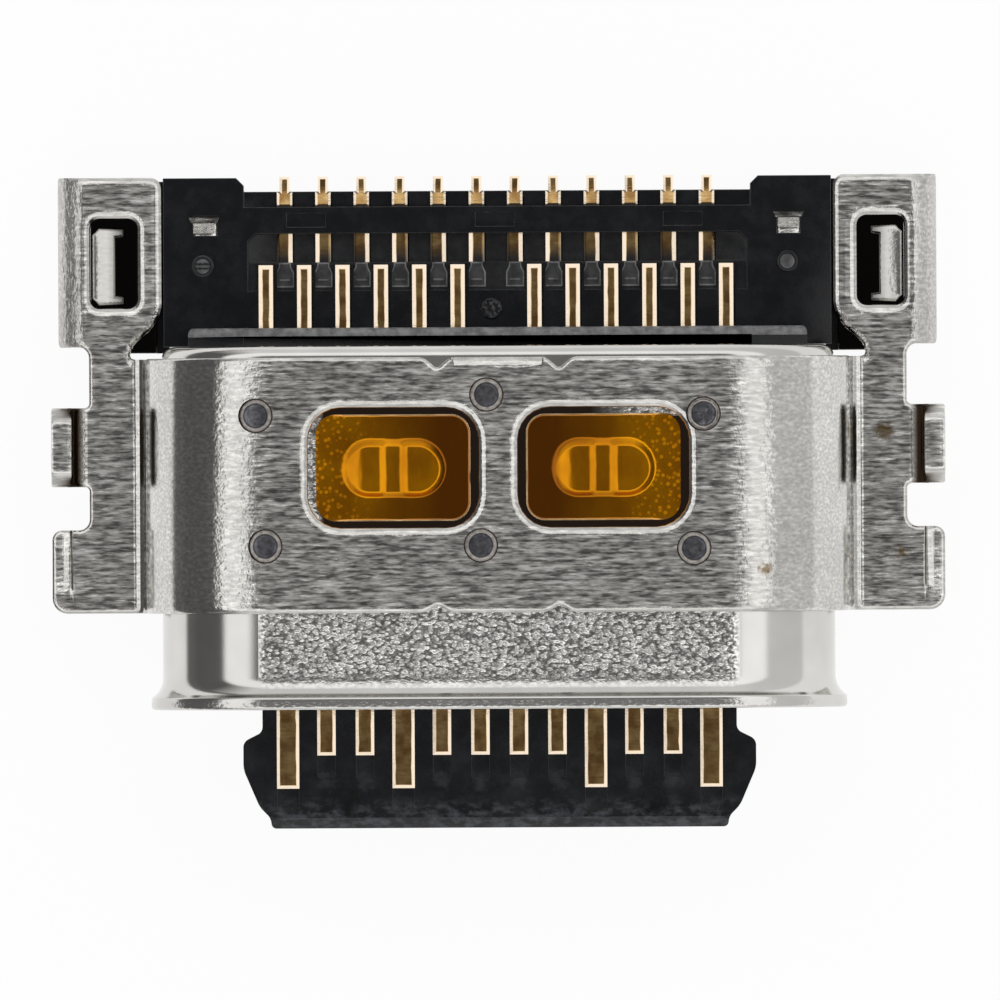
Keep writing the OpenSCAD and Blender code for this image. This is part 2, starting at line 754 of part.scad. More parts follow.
module rear_housing() {
  recess_l = bar_len / 2;
  color("black") difference() {
    union() {
      intersection() {
        along_y(wafer_y0, wall_y1) stadium(plug_fit_r);
        union() {
          block(-hat_half, hat_half, wafer_y0, shell_y1, -hat_r, 0);
          block(-hat_half, hat_half, wafer_y0, wall_y1, -hat_r, wall_z1);
        }
      }
      block(-block_mid, block_mid, wall_y0, wall_y1, slab_z0, wall_z1);
      difference() {
        along_z(slab_z0, deck_z) deck_plan();
        along_z(lead_floor_z, deck_z + over) lead_window_plan();
        block(-slab_half, slab_half, bar_y1, slab_y1 + over, tail_z0, deck_z + over);
      }
      block(-lead_window_half, lead_window_half, lead_window_y0, finger_y1, lead_floor_z, shelf_z);
      for (i = [0:row_count - 1]) translate([front_tail_x(i), 0, 0])
        block(-finger_w / 2, finger_w / 2, lead_window_y0, front_tail_y1, lead_floor_z, deck_z);
    }
    all_contacts();
    mid_plate();
    block(-slab_half, slab_half, shell_y1, shell_y1 + groove_w, wall_z1 - groove_d, wall_z1 + over);
    translate([0, (wall_y1 + lead_window_y0) / 2, deck_z - mark_d]) cylinder(r = gate_r, h = over);
    for (x = bar_recesses) translate([x, lead_window_y1 + recess_l, deck_z - mark_d])
      linear_extrude(over) square([contact_pitch, recess_l], center = true);
    both_sides() {
      block(block_mid - mid_leg_w / 2, block_mid + mid_leg_w / 2, pocket_y0, pocket_y1,
            mid_leg_z1, deck_z + over);
      translate([block_mid, finger_y1, deck_z - mark_d]) cylinder(r = block_mark_r, h = over);
    }
  }
}

outer_bracket();
lower_cover();
inner_shell();
film(-1);  // film_left
film(1);  // film_right
rear_housing();
upper_wafer();
tongue();
mid_plate();
ground_plate(0);  // ground_plate_upper
ground_plate(1);  // ground_plate_lower
for (i = [1:row_count]) contact_a(i - 1);
for (i = [1:row_count]) contact_b(i - 1);
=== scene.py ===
import math

import bmesh
import bpy
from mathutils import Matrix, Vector, noise


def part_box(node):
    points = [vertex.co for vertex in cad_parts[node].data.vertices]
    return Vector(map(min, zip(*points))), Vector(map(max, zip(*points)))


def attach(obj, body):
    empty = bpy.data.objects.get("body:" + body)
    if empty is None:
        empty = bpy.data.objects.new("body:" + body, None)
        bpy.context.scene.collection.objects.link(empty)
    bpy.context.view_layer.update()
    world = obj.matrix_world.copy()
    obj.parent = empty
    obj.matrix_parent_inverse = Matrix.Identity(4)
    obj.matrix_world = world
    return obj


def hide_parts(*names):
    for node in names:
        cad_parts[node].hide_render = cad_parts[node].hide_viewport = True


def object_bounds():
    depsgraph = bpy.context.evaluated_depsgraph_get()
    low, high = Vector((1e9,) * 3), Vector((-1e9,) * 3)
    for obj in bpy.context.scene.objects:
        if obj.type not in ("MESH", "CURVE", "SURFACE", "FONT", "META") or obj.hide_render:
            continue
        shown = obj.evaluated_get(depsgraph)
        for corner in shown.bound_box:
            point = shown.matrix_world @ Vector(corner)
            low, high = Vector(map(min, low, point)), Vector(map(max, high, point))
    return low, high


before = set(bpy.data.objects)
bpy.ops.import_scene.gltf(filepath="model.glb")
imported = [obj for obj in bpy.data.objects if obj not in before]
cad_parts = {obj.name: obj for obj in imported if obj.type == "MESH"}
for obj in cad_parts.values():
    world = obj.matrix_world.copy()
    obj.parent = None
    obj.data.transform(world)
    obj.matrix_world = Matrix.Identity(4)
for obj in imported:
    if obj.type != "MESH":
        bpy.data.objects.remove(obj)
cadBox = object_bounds()
perMetre = 1000  # pieces are drawn in millimetres and scaled to metres at the end
near = 0.01  # places nearer than this count as the same


def boxInMm(node):
    low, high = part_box(node)
    return low * perMetre, high * perMetre


def smoothStep(low, high, value):
    share = min(1, max(0, (value - low) / (high - low)))
    return share * share * (3 - 2 * share)


def addNode(tree, kind, inputs=None, **settings):
    made = tree.nodes.new("ShaderNode" + kind)
    for name, value in settings.items():
        setattr(made, name, value)
    for key, value in (inputs or {}).items():
        if isinstance(value, bpy.types.NodeSocket):
            tree.links.new(value, made.inputs[key])
        else:
            made.inputs[key].default_value = value
    return made


def shadeEdges(bm, sharpAngle=32):
    for face in bm.faces:
        face.smooth = True
    for edge in bm.edges:
        edge.smooth = len(edge.link_faces) == 2 and edge.calc_face_angle() < math.radians(sharpAngle)


def onlyVerts(geom):
    return [item for item in geom if isinstance(item, bmesh.types.BMVert)]


def onlyEdges(geom):
    return [item for item in geom if isinstance(item, bmesh.types.BMEdge)]


def bevel(bm, geom, width, segments, affect="EDGES", clamp=False):
    return bmesh.ops.bevel(bm, geom=geom, offset=width, offset_type="OFFSET", segments=segments, profile=0.5,
                           affect=affect, material=-1, clamp_overlap=clamp)


def spunDisc(bm, rows):
    # turns (radius, height) rows once round the upright axis and gives the new verts
    row = [bm.verts.new((radius, 0, height)) for radius, height in rows]
    geom = row + [bm.edges.new(pair) for pair in zip(row, row[1:])]
    before = set(bm.verts) - set(row)
    bmesh.ops.spin(bm, geom=geom, cent=(0, 0, 0), axis=(0, 0, 1), angle=2 * math.pi, steps=40, use_merge=True)
    return [vert for vert in bm.verts if vert not in before]


def addPiece(name, bm, material, nodes, sharpAngle=32):
    shadeEdges(bm, sharpAngle)
    bmesh.ops.scale(bm, vec=(1 / perMetre,) * 3, verts=bm.verts)
    mesh = bpy.data.meshes.new(name)
    bm.to_mesh(mesh)
    bm.free()
    mesh.materials.append(material)
    piece = bpy.data.objects.new(name, mesh)
    bpy.context.scene.collection.objects.link(piece)
    weighted = piece.modifiers.new("face normals", "WEIGHTED_NORMAL")
    weighted.keep_sharp = True
    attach(piece, "root")
    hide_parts(*nodes)
    return piece


# Materials


def newMaterial(name, metallic=1.0):
    material = bpy.data.materials.new(name)
    material.use_nodes = True
    tree = material.node_tree
    tree.nodes.clear()
    output = addNode(tree, "OutputMaterial")
    shader = addNode(tree, "BsdfPrincipled", {"Metallic": metallic})
    tree.links.new(shader.outputs[0], output.inputs[0])
    return material, tree, shader


def dress(tree, shader, colour, rough, relief):
    tree.links.new(colour, shader.inputs["Base Color"])
    tree.links.new(rough, shader.inputs["Roughness"])
    tree.links.new(relief, shader.inputs["Normal"])


def noiseAt(tree, scale, detail=2.0, roughness=0.5, shift=(0, 0, 0)):
    coords = addNode(tree, "TexCoord")
    place = addNode(tree, "Mapping", {"Vector": coords.outputs["Object"], "Scale": scale, "Location": shift})
    made = addNode(tree, "TexNoise", {"Vector": place.outputs[0], "Scale": 1.0, "Detail": detail,
                                      "Roughness": roughness})
    return made.outputs["Fac"]


def axesOf(tree, space="Object"):
    return addNode(tree, "SeparateXYZ", {0: addNode(tree, "TexCoord").outputs[space]}).outputs


def attributeOf(tree, name):
    return addNode(tree, "Attribute", attribute_name=name).outputs["Fac"]


def mathOf(tree, operation, first, second=0.0):
    return addNode(tree, "Math", {0: first, 1: second}, operation=operation).outputs[0]


def product(tree, first, second):
    return mathOf(tree, "MULTIPLY", first, second)


def rampOf(tree, value, low, high, lowTo=0, highTo=1):
    made = addNode(tree, "MapRange", {"Value": value, "From Min": low, "From Max": high,
                                      "To Min": lowTo, "To Max": highTo})
    return made.outputs[0]


def rampInMm(tree, value, low, high):
    return rampOf(tree, value, low / perMetre, high / perMetre)


def mixColour(tree, share, first, second, blend="MIX"):
    made = addNode(tree, "Mix", {0: share, 6: first, 7: second}, data_type="RGBA", blend_type=blend)
    return made.outputs[2]


def mixNumber(tree, share, first, second):
    return addNode(tree, "Mix", {0: share, 2: first, 3: second}, data_type="FLOAT").outputs[0]


def bumpOf(tree, height, distance, normal=None):
    inputs = {"Height": height, "Distance": distance, "Strength": 1.0}
    if normal is not None:
        inputs["Normal"] = normal
    return addNode(tree, "Bump", inputs).outputs[0]


def rgb(red, green, blue):
    return (red, green, blue, 1.0)


def spotsAt(tree, spots, wobble=0.0):
    # 1 inside the nearest of the (x, y, radius) spots, in millimetres, with a soft ragged edge
    total = 0.0
    if not spots:
        return total
    coords = addNode(tree, "TexCoord")
    flat = addNode(tree, "VectorMath", {0: coords.outputs["Object"], 1: (1, 1, 0)}, operation="MULTIPLY")
    reach = wobble / perMetre
    ragged = rampOf(tree, noiseAt(tree, (9000,) * 3, 3.0, 0.6), 0.2, 0.8, -reach, reach)
    for x, y, radius in spots:
        spot = (x / perMetre, y / perMetre, 0)
        away = addNode(tree, "VectorMath", {0: flat.outputs[0], 1: spot}, operation="DISTANCE")
        away = mathOf(tree, "ADD", away.outputs["Value"], ragged)
        inside = rampInMm(tree, away, radius, radius * 0.3)
        total = mathOf(tree, "MAXIMUM", total, inside)
    return total


brushedSteel = {"light": rgb(0.68, 0.665, 0.635), "dark": rgb(0.6, 0.585, 0.555), "cloud": (900, 700, 900),
                "dash": (5400, 25000, 25000), "dashShade": (0.3, 1.36), "patch": (1500, 24000, 24000),
                "patchShade": (0.6, 1.36), "onCurve": 0.3, "paintedShade": rgb(0.05, 0.033, 0.02),
                "flat": (0.97, 0.995), "turnFrom": (0.998, 0.985), "turnTo": (0.86, 0.92),
                "cloudSpread": (0.35, 0.65), "dashSpread": (0.35, 0.65), "patchSpread": (0.3, 0.7),
                "dashShift": (0.3, 0.7, 0.1), "patchShift": (0.9, 0.2, 0.4),
                "stain": rgb(0.17, 0.105, 0.025), "stainShare": 0.8, "stainWobble": 0.1,
                "stains": [(5.03, 3.59, 0.15), (5.25, 1.99, 0.1), (3.44, 1.79, 0.09)],
                "streak": (3000, 22000, 22000), "depth": 0.000008, "grain": (42000,) * 3,
                "grainDepth": 0.0000008, "mottle": (16000,) * 3, "mottleDepth": 0.0000075,
                "bendX": (5.36, 5.46), "bendY": (4.5, 4.7), "crumple": (15000, 7000, 15000),
                "crumpleDepth": 0.000017, "roughCurve": 0.12, "roughFlat": 0.28, "roughBend": 0.34}


def makeBrushedSteel(name, look):
    material, tree, shader = newMaterial(name)
    level = mathOf(tree, "ABSOLUTE", axesOf(tree, "Normal")[2])
    onFlat = rampOf(tree, level, *look["flat"])
    onTurn = product(tree, rampOf(tree, level, *look["turnFrom"]), rampOf(tree, level, *look["turnTo"]))
    cloud = rampOf(tree, noiseAt(tree, look["cloud"]), *look["cloudSpread"])
    tone = mixColour(tree, cloud, look["dark"], look["light"])
    dash = noiseAt(tree, look["dash"], 2.0, 0.55, look["dashShift"])
    patch = noiseAt(tree, look["patch"], 1.0, 0.5, look["patchShift"])
    marked = product(tree, rampOf(tree, dash, *look["dashSpread"], *look["dashShade"]),
                     rampOf(tree, patch, *look["patchSpread"], *look["patchShade"]))
    brushed = mixColour(tree, 1.0, tone, marked, "MULTIPLY")
    tone = mixColour(tree, rampOf(tree, onFlat, 0, 1, look["onCurve"], 1), tone, brushed)
    # the shade attribute paints shade into the bracket's leg bends and along its crease line
    tone = mixColour(tree, attributeOf(tree, "shade"), tone, look["paintedShade"])
    stains = product(tree, spotsAt(tree, look["stains"], look["stainWobble"]), look["stainShare"])
    tone = mixColour(tree, stains, tone, look["stain"])
    axes = axesOf(tree)
    onBend = product(tree, rampInMm(tree, mathOf(tree, "ABSOLUTE", axes[0]), *look["bendX"]),
                     rampInMm(tree, axes[1], *look["bendY"]))
    rough = rampOf(tree, onFlat, 0, 1, look["roughCurve"], look["roughFlat"])
    rough = mathOf(tree, "MAXIMUM", rough, product(tree, onBend, look["roughBend"]))
    mottle = product(tree, noiseAt(tree, look["mottle"], 2.0, 0.6), onTurn)
    crumple = product(tree, noiseAt(tree, look["crumple"], 2.0, 0.6), onBend)
    streak = product(tree, noiseAt(tree, look["streak"]), onFlat)
    relief = bumpOf(tree, noiseAt(tree, look["grain"], 2.0, 0.6), look["grainDepth"])
    for height, depth in ((mottle, "mottleDepth"), (crumple, "crumpleDepth"), (streak, "depth")):
        relief = bumpOf(tree, height, look[depth], relief)
    dress(tree, shader, tone, rough, relief)
    return material


shellLook = {"light": rgb(0.7, 0.69, 0.66), "dark": rgb(0.62, 0.61, 0.585), "cloud": (1100,) * 3,
             "top": (0.9, 1.0), "etchHalf": 3.08, "etchFront": 0.37, "etchRear": 1.5, "etchSoft": 0.1,
             "etch": (16000, 25500, 18500), "etchShade": (0.36, 1.5), "etchDepth": 0.000014,
             "etchRough": 0.27, "smoothRough": 0.13, "fine": (60000,) * 3, "fineDepth": 0.0000004,
             "rimTo": 0.11, "rimSoft": 0.02, "rimShare": 0.45, "cloudSpread": (0.35, 0.65),
             "etchSpread": (0.4, 0.6), "leftHalf": (0.1, -0.1),
             # gap is the colour of the painted shade on the shell under the windows
             "gap": rgb(0.075, 0.05, 0.037), "gapFront": 2.3, "gapRear": 3.95, "unshadedX": (2.26, 2.34),
             "cornerX": (1.2, 1.7), "cornerY": (3.78, 3.82)}


def makeShellSteel(name, look):
    material, tree, shader = newMaterial(name)
    axes = axesOf(tree)
    across = mathOf(tree, "ABSOLUTE", axes[0])

    def band(value, low, high, soft=0.04):
        return product(tree, rampInMm(tree, value, low - soft, low + soft),
                       rampInMm(tree, value, high + soft, high - soft))

    onTop = rampInMm(tree, axes[2], *look["top"])
    etchZone = product(tree, band(across, -1, look["etchHalf"]),
                       band(axes[1], look["etchFront"], look["etchRear"], look["etchSoft"]))
    etchZone = product(tree, etchZone, onTop)
    # painted shade on the shell's top under the bracket's windows, left off at the left end strip and one
    # corner
    windowShadeZone = product(tree, band(axes[1], look["gapFront"], look["gapRear"]), onTop)
    leftEnd = product(tree, rampInMm(tree, across, *look["unshadedX"]),
                      rampInMm(tree, axes[0], *look["leftHalf"]))
    corner = product(tree, rampInMm(tree, axes[0], *look["cornerX"]),
                     rampInMm(tree, axes[1], *look["cornerY"]))
    unshadedZone = product(tree, windowShadeZone, mathOf(tree, "MAXIMUM", leftEnd, corner))
    cloud = rampOf(tree, noiseAt(tree, look["cloud"]), *look["cloudSpread"])
    tone = mixColour(tree, cloud, look["dark"], look["light"])
    tone = mixColour(tree, windowShadeZone, tone, mixColour(tree, unshadedZone, look["gap"], look["dark"]))
    etch = noiseAt(tree, look["etch"], 1.0)
    etchShade = rampOf(tree, etch, *look["etchSpread"], *look["etchShade"])
    rough = mathOf(tree, "MAXIMUM", etchZone, unshadedZone)
    tone = mixColour(tree, rough, tone, mixColour(tree, 1.0, tone, etchShade, "MULTIPLY"))
    rimZone = product(tree, band(axes[1], -1, look["rimTo"], look["rimSoft"]), look["rimShare"])
    rough = mathOf(tree, "MAXIMUM", rough, rimZone)
    relief = bumpOf(tree, noiseAt(tree, look["fine"]), look["fineDepth"])
    relief = bumpOf(tree, product(tree, etch, rough), look["etchDepth"], relief)
    rough = rampOf(tree, rough, 0, 1, look["smoothRough"], look["etchRough"])
    dress(tree, shader, tone, rough, relief)
    return material


filmLook = {"amber": rgb(0.72, 0.285, 0.003), "deep": rgb(0.52, 0.185, 0.003),
            "inner": rgb(0.27, 0.08, 0.005), "border": rgb(0.7, 0.52, 0.3), "cloud": (1800,) * 3,
            "middle": 1.36, "flat": (1.49, 1.52),
            "wrinkle": (14000, 5000, 9000), "wrinkleDepth": 0.0000022, "bubble": (14000,) * 3,
            "bubbleDepth": 0.0000022, "bubbleRough": 0.3, "roughDimple": 0.24, "roughFlat": 0.17,
            "coat": 0.08, "coatRough": 0.08, "cloudSpread": (0.35, 0.65), "innerFrom": (0.4, -0.6),
            "bubbleFrom": (0.1, 0.9), "bubbleSpread": (0.1, 0.45), "bubbleShade": (1, 0.15)}


def makeFilm(name, look):
    material, tree, shader = newMaterial(name)
    axes = axesOf(tree)
    outward = mathOf(tree, "SUBTRACT", mathOf(tree, "ABSOLUTE", axes[0]), look["middle"] / perMetre)
    onFlat = rampInMm(tree, axes[2], *look["flat"])  # the flat part only, not the dimple
    cloud = rampOf(tree, noiseAt(tree, look["cloud"]), *look["cloudSpread"])
    tone = mixColour(tree, cloud, look["deep"], look["amber"])
    inner = product(tree, onFlat, rampInMm(tree, outward, *look["innerFrom"]))
    tone = mixColour(tree, inner, tone, look["inner"])
    tone = mixColour(tree, attributeOf(tree, "border"), tone, look["border"])
    shader.inputs["Coat Weight"].default_value = look["coat"]
    shader.inputs["Coat Roughness"].default_value = look["coatRough"]
    coords = addNode(tree, "TexCoord")
    place = addNode(tree, "Mapping", {"Vector": coords.outputs["Object"], "Scale": look["bubble"]})
    cells = addNode(tree, "TexVoronoi", {"Vector": place.outputs[0], "Scale": 1.0}).outputs["Distance"]
    bubbles = product(tree, rampOf(tree, cells, *look["bubbleSpread"], *look["bubbleShade"]),
                      rampInMm(tree, outward, *look["bubbleFrom"]))
    bubbles = product(tree, bubbles, onFlat)
    rough = rampOf(tree, onFlat, 0, 1, look["roughDimple"], look["roughFlat"])
    rough = mathOf(tree, "ADD", rough, product(tree, bubbles, look["bubbleRough"]))
    relief = bumpOf(tree, noiseAt(tree, look["wrinkle"]), look["wrinkleDepth"])
    relief = bumpOf(tree, bubbles, look["bubbleDepth"], relief)
    dress(tree, shader, tone, rough, relief)
    return material


goldLook = {"gold": rgb(0.62, 0.41, 0.175), "worn": rgb(0.32, 0.175, 0.06), "paintedEdgeHighlight": rgb(0.84, 0.71, 0.56),
            "cloud": (5000,) * 3, "scratch": (5000, 34000, 34000), "scratchDepth": 0.000002,
            "rough": (0.13, 0.22), "shadow": rgb(0.1, 0.09, 0.085), "shadowZ": (-1.07, -1.09),
            # amber is painted shade at the foot of each lead
            "shadowY": (6.06, 5.86), "amber": rgb(0.42, 0.15, 0.03), "footShadeShare": 0.9,
            "footShadeRear": (6.57, 6.47), "footShadeFront": (6.3, 6.4), "cloudSpread": (0.36, 0.64),
            "wornSpread": (0.3, 0.45), "wornShade": (0.55, 0), "paintedEdgeSpread": (0.8, 0.97),
            "roughSpread": (0.3, 0.7)}


def makeGold(name, look):
    material, tree, shader = newMaterial(name)
    axes = axesOf(tree)
    scratch = noiseAt(tree, look["scratch"], 3.0, 0.6)
    cloud = rampOf(tree, noiseAt(tree, look["cloud"]), *look["cloudSpread"])
    tone = mixColour(tree, cloud, look["gold"], look["worn"])
    tone = mixColour(tree, rampOf(tree, scratch, *look["wornSpread"], *look["wornShade"]), tone, look["worn"])
    # the leads lie in shade where they end under the shelf
    shaded = product(tree, rampInMm(tree, axes[2], *look["shadowZ"]),
                     rampInMm(tree, axes[1], *look["shadowY"]))
    tone = mixColour(tree, shaded, tone, look["shadow"])
    # the sloped rims round each flat face (crown below 1) get a painted highlight in ivory
    crown = rampOf(tree, attributeOf(tree, "crown"), *look["paintedEdgeSpread"])
    tone = mixColour(tree, crown, look["paintedEdgeHighlight"], tone)
    # painted shade in dark amber where the leads rise out from under the bar
    footShade = product(tree, rampInMm(tree, axes[1], *look["footShadeRear"]),
                   rampInMm(tree, axes[1], *look["footShadeFront"]))
    tone = mixColour(tree, product(tree, footShade, look["footShadeShare"]), tone, look["amber"])
    rough = rampOf(tree, scratch, *look["roughSpread"], *look["rough"])
    dress(tree, shader, tone, rough, bumpOf(tree, scratch, look["scratchDepth"]))
    return material


# worn is the light grey painted on rounded edges, pocket floors and mould marks: partly real wear and marks,
# partly painted highlights on edges and painted light on up-facing floors
plasticLook = {"body": rgb(0.0048, 0.0053, 0.0068), "scuff": rgb(0.0105, 0.0112, 0.0135),
               "worn": rgb(0.3, 0.3, 0.3), "rubbed": rgb(0.085, 0.09, 0.102), "pit": rgb(0.001, 0.001, 0.001),
               "cloud": (2600,) * 3, "patch": (7000,) * 3, "smear": (5500, 9000, 5500), "tip": (-8, -9),
               "rubs": [], "rubShare": 0.25, "rubWobble": 0.09, "pits": [], "pitShare": 0.7, "shine": 0.32,
               "rough": (0.2, 0.32), "roughSpread": (0.3, 0.7), "cloudSpread": (0.45, 0.75),
               "patchSpread": (0.35, 0.65), "patchShade": (0.45, 1), "faceUp": (0.35, 0.65),
               "smearSpread": (0.45, 0.65), "smearShade": (0, 0.65),
               "grain": (26000,) * 3, "grainDepth": 0.000002}


def makePlastic(name, look):
    material, tree, shader = newMaterial(name, 0.0)
    cloud = noiseAt(tree, look["cloud"], 3.0, 0.65)
    tone = mixColour(tree, rampOf(tree, cloud, *look["cloudSpread"]), look["body"], look["scuff"])
    patch = noiseAt(tree, look["patch"], 2.0, 0.6)
    patch = rampOf(tree, patch, *look["patchSpread"], *look["patchShade"])
    # the worn attribute paints wear together with painted edge highlights and painted light
    tone = mixColour(tree, product(tree, attributeOf(tree, "worn"), patch), tone, look["worn"])
    atTip = product(tree, rampInMm(tree, axesOf(tree)[1], *look["tip"]),
                    rampOf(tree, axesOf(tree, "Normal")[2], *look["faceUp"]))
    smear = noiseAt(tree, look["smear"], 3.0, 0.6)
    smear = product(tree, atTip, rampOf(tree, smear, *look["smearSpread"], *look["smearShade"]))
    rubs = product(tree, spotsAt(tree, look["rubs"], look["rubWobble"]), look["rubShare"])
    tone = mixColour(tree, mathOf(tree, "MAXIMUM", smear, rubs), tone, look["rubbed"])
    pits = product(tree, spotsAt(tree, look["pits"]), look["pitShare"])
    tone = mixColour(tree, pits, tone, look["pit"])
    shader.inputs["Specular IOR Level"].default_value = look["shine"]
    rough = rampOf(tree, cloud, *look["roughSpread"], *look["rough"])
    relief = bumpOf(tree, noiseAt(tree, look["grain"], 3.0, 0.6), look["grainDepth"])
    dress(tree, shader, tone, rough, relief)
    return material


weldLook = {"stops": [(0.0, rgb(0.2, 0.2, 0.215)), (0.6, rgb(0.15, 0.152, 0.17)),
                      (0.67, rgb(0.03, 0.026, 0.026)), (0.75, rgb(0.34, 0.32, 0.3)),
                      (0.86, rgb(0.26, 0.235, 0.215)), (0.94, rgb(0.03, 0.02, 0.015))],
            "blotch": (16000,) * 3, "blotchSpread": (0.3, 0.6), "blotchShade": (0.55, 1.15),
            "blotchDepth": 0.000004, "rough": 0.28}


def makeWeld(name, look):
    # the ramp runs from a spot's middle to its outer edge
    material, tree, shader = newMaterial(name)
    ramp = addNode(tree, "ValToRGB", {0: attributeOf(tree, "reach")})
    stops = ramp.color_ramp.elements
    stops[0].position, stops[0].color = look["stops"][0]
    stops[1].position, stops[1].color = look["stops"][-1]
    for position, colour in look["stops"][1:-1]:
        stops.new(position).color = colour
    blotch = noiseAt(tree, look["blotch"], 3.0, 0.6)
    shade = rampOf(tree, blotch, *look["blotchSpread"], *look["blotchShade"])
    tree.links.new(mixColour(tree, 1.0, ramp.outputs[0], shade, "MULTIPLY"), shader.inputs["Base Color"])
    shader.inputs["Roughness"].default_value = look["rough"]
    tree.links.new(bumpOf(tree, blotch, look["blotchDepth"]), shader.inputs["Normal"])
    return material


coverLook = {**brushedSteel, "light": rgb(0.6, 0.585, 0.555), "dark": rgb(0.53, 0.515, 0.485),
             "dashShade": (0.85, 1.1), "patchShade": (0.9, 1.1), "depth": 0.000002, "roughFlat": 0.16,
             "mottleDepth": 0.000003, "underWingShade": rgb(0.012, 0.011, 0.01), "underWingShadeFrom": (-1.31, -1.29),
             "underWingShadeTo": (-1.04, -1.12)}


def makeCoverSteel(name, look):
    # painted shade on the saddle's upper face, where it lies in the dark under the wings
    material = makeBrushedSteel(name, look)
    tree = material.node_tree
    shader = next(node for node in tree.nodes if node.type == "BSDF_PRINCIPLED")
    height = axesOf(tree)[2]
    underWingShade = product(tree, rampInMm(tree, height, *look["underWingShadeFrom"]),
                     rampInMm(tree, height, *look["underWingShadeTo"]))
    unshadedColour = shader.inputs["Base Color"].links[0].from_socket
    tree.links.new(mixColour(tree, underWingShade, unshadedColour, look["underWingShade"]), shader.inputs["Base Color"])
    return material


tongueLook = {**plasticLook, "body": rgb(0.0075, 0.008, 0.0095), "scuff": rgb(0.015, 0.016, 0.019),
              "worn": rgb(0.035, 0.037, 0.042), "pits": [(-1.97, -1.2, 0.22), (2.03, -1.25, 0.22)],
              "tip": (-1.12, -1.34),
              "rubs": [(-2.75 + 0.5 * number, -0.94, 0.13) for number in (1, 2, 4, 5, 6, 7, 9, 10)]}

bracketSteel = makeBrushedSteel("bracket steel", brushedSteel)
coverSteel = makeCoverSteel("cover steel", coverLook)
plateSteel = makeBrushedSteel("plate steel", {**brushedSteel, "depth": 0.000003, "roughFlat": 0.2})
weldSteel = makeWeld("weld steel", weldLook)
shellSteel = makeShellSteel("shell steel", shellLook)
amberFilm = makeFilm("amber film", filmLook)
contactGold = makeGold("contact gold", goldLook)
housingPlastic = makePlastic("housing plastic", plasticLook)
tonguePlastic = makePlastic("tongue plastic", tongueLook)
print("materials ready")


# Bent sheet: a flat pattern is cut, thickened and rolled at its rims, then folded along a path


def flatPattern(outline, holes):
    bm = bmesh.new()
    bm.verts.layers.float.new("shade")
    for corners in [outline] + holes:
        verts = [bm.verts.new((x, y, 0)) for x, y, radius in corners]
        bm.faces.new(verts)
        for wanted in sorted({radius for x, y, radius in corners if radius > 0}):
            chosen = [vert for vert, (x, y, radius) in zip(verts, corners) if radius == wanted]
            bevel(bm, chosen, wanted, 6, "VERTICES")
    bmesh.ops.delete(bm, geom=bm.faces[:], context="FACES_ONLY")
    bmesh.ops.triangle_fill(bm, edges=bm.edges[:], use_beauty=True, use_dissolve=False, normal=(0, 0, 1))
    bmesh.ops.dissolve_limit(bm, angle_limit=0.01, verts=bm.verts[:], edges=bm.edges[:])
    return bm


def thicken(bm, thickness, rollOf, squeeze, burr):
    # rollOf gives the roll's width at a rim edge's middle, squeeze how flat the roll is
    widest = max(rollOf(edge) for edge in bm.edges)
    tall = thickness + widest * (1 - squeeze)
    made = bmesh.ops.extrude_face_region(bm, geom=bm.faces[:], use_keep_orig=True)["geom"]
    bmesh.ops.translate(bm, verts=onlyVerts(made), vec=(0, 0, -tall))
    bmesh.ops.recalc_face_normals(bm, faces=bm.faces[:])

    def rims(level):
        return [edge for edge in bm.edges if edge.calc_face_angle(0) > 1
                and all(abs(vert.co.z - level) < 1e-5 for vert in edge.verts)]

    for width in sorted({rollOf(edge) for edge in rims(0)}):
        chosen = [edge for edge in rims(0) if abs(rollOf(edge) - width) < 1e-6]
        bevel(bm, chosen, width, 4)
    bevel(bm, rims(-tall), burr, 2)
    for vert in bm.verts:
        depth = -vert.co.z
        vert.co.z = -(depth * squeeze if depth < widest else depth - widest * (1 - squeeze))


def sheetPath(start, steps):
    # steps are (length, turn in degrees), walked outwards from the middle line
    rows = []
    along, heading = 0, 0
    x, z = start
    for length, turn in steps:
        curve = math.radians(turn) / length
        rows.append((along, length, x, z, heading, curve))
        along += length
        if curve:
            x += (math.sin(heading + curve * length) - math.sin(heading)) / curve
            z -= (math.cos(heading + curve * length) - math.cos(heading)) / curve
            heading += curve * length
        else:
            x += math.cos(heading) * length
            z += math.sin(heading) * length
    return rows


def onPath(rows, along, depth):
    start, length, x, z, heading, curve = [row for row in rows if row[0] <= along + 1e-6][-1]
    run = along - start
    if curve:
        x += (math.sin(heading + curve * run) - math.sin(heading)) / curve
        z -= (math.cos(heading + curve * run) - math.cos(heading)) / curve
        heading += curve * run
    else:
        x += math.cos(heading) * run
        z += math.sin(heading) * run
    return x + math.sin(heading) * depth, z - math.cos(heading) * depth


def bendLines(rows, step):
    lines = []
    for start, length, x, z, heading, curve in rows:
        if curve:
            count = max(2, math.ceil(abs(math.degrees(curve * length)) / step))
            lines += [start + length * i / count for i in range(count + 1)]
    return lines


def cutAcross(bm, lines, axis=0):
    normal = [0, 0, 0]
    normal[axis] = 1
    for line in lines:
        point = [0, 0, 0]
        point[axis] = line
        geom = bm.verts[:] + bm.edges[:] + bm.faces[:]
        bmesh.ops.bisect_plane(bm, geom=geom, dist=1e-5, plane_co=point, plane_no=normal)


# Outer bracket

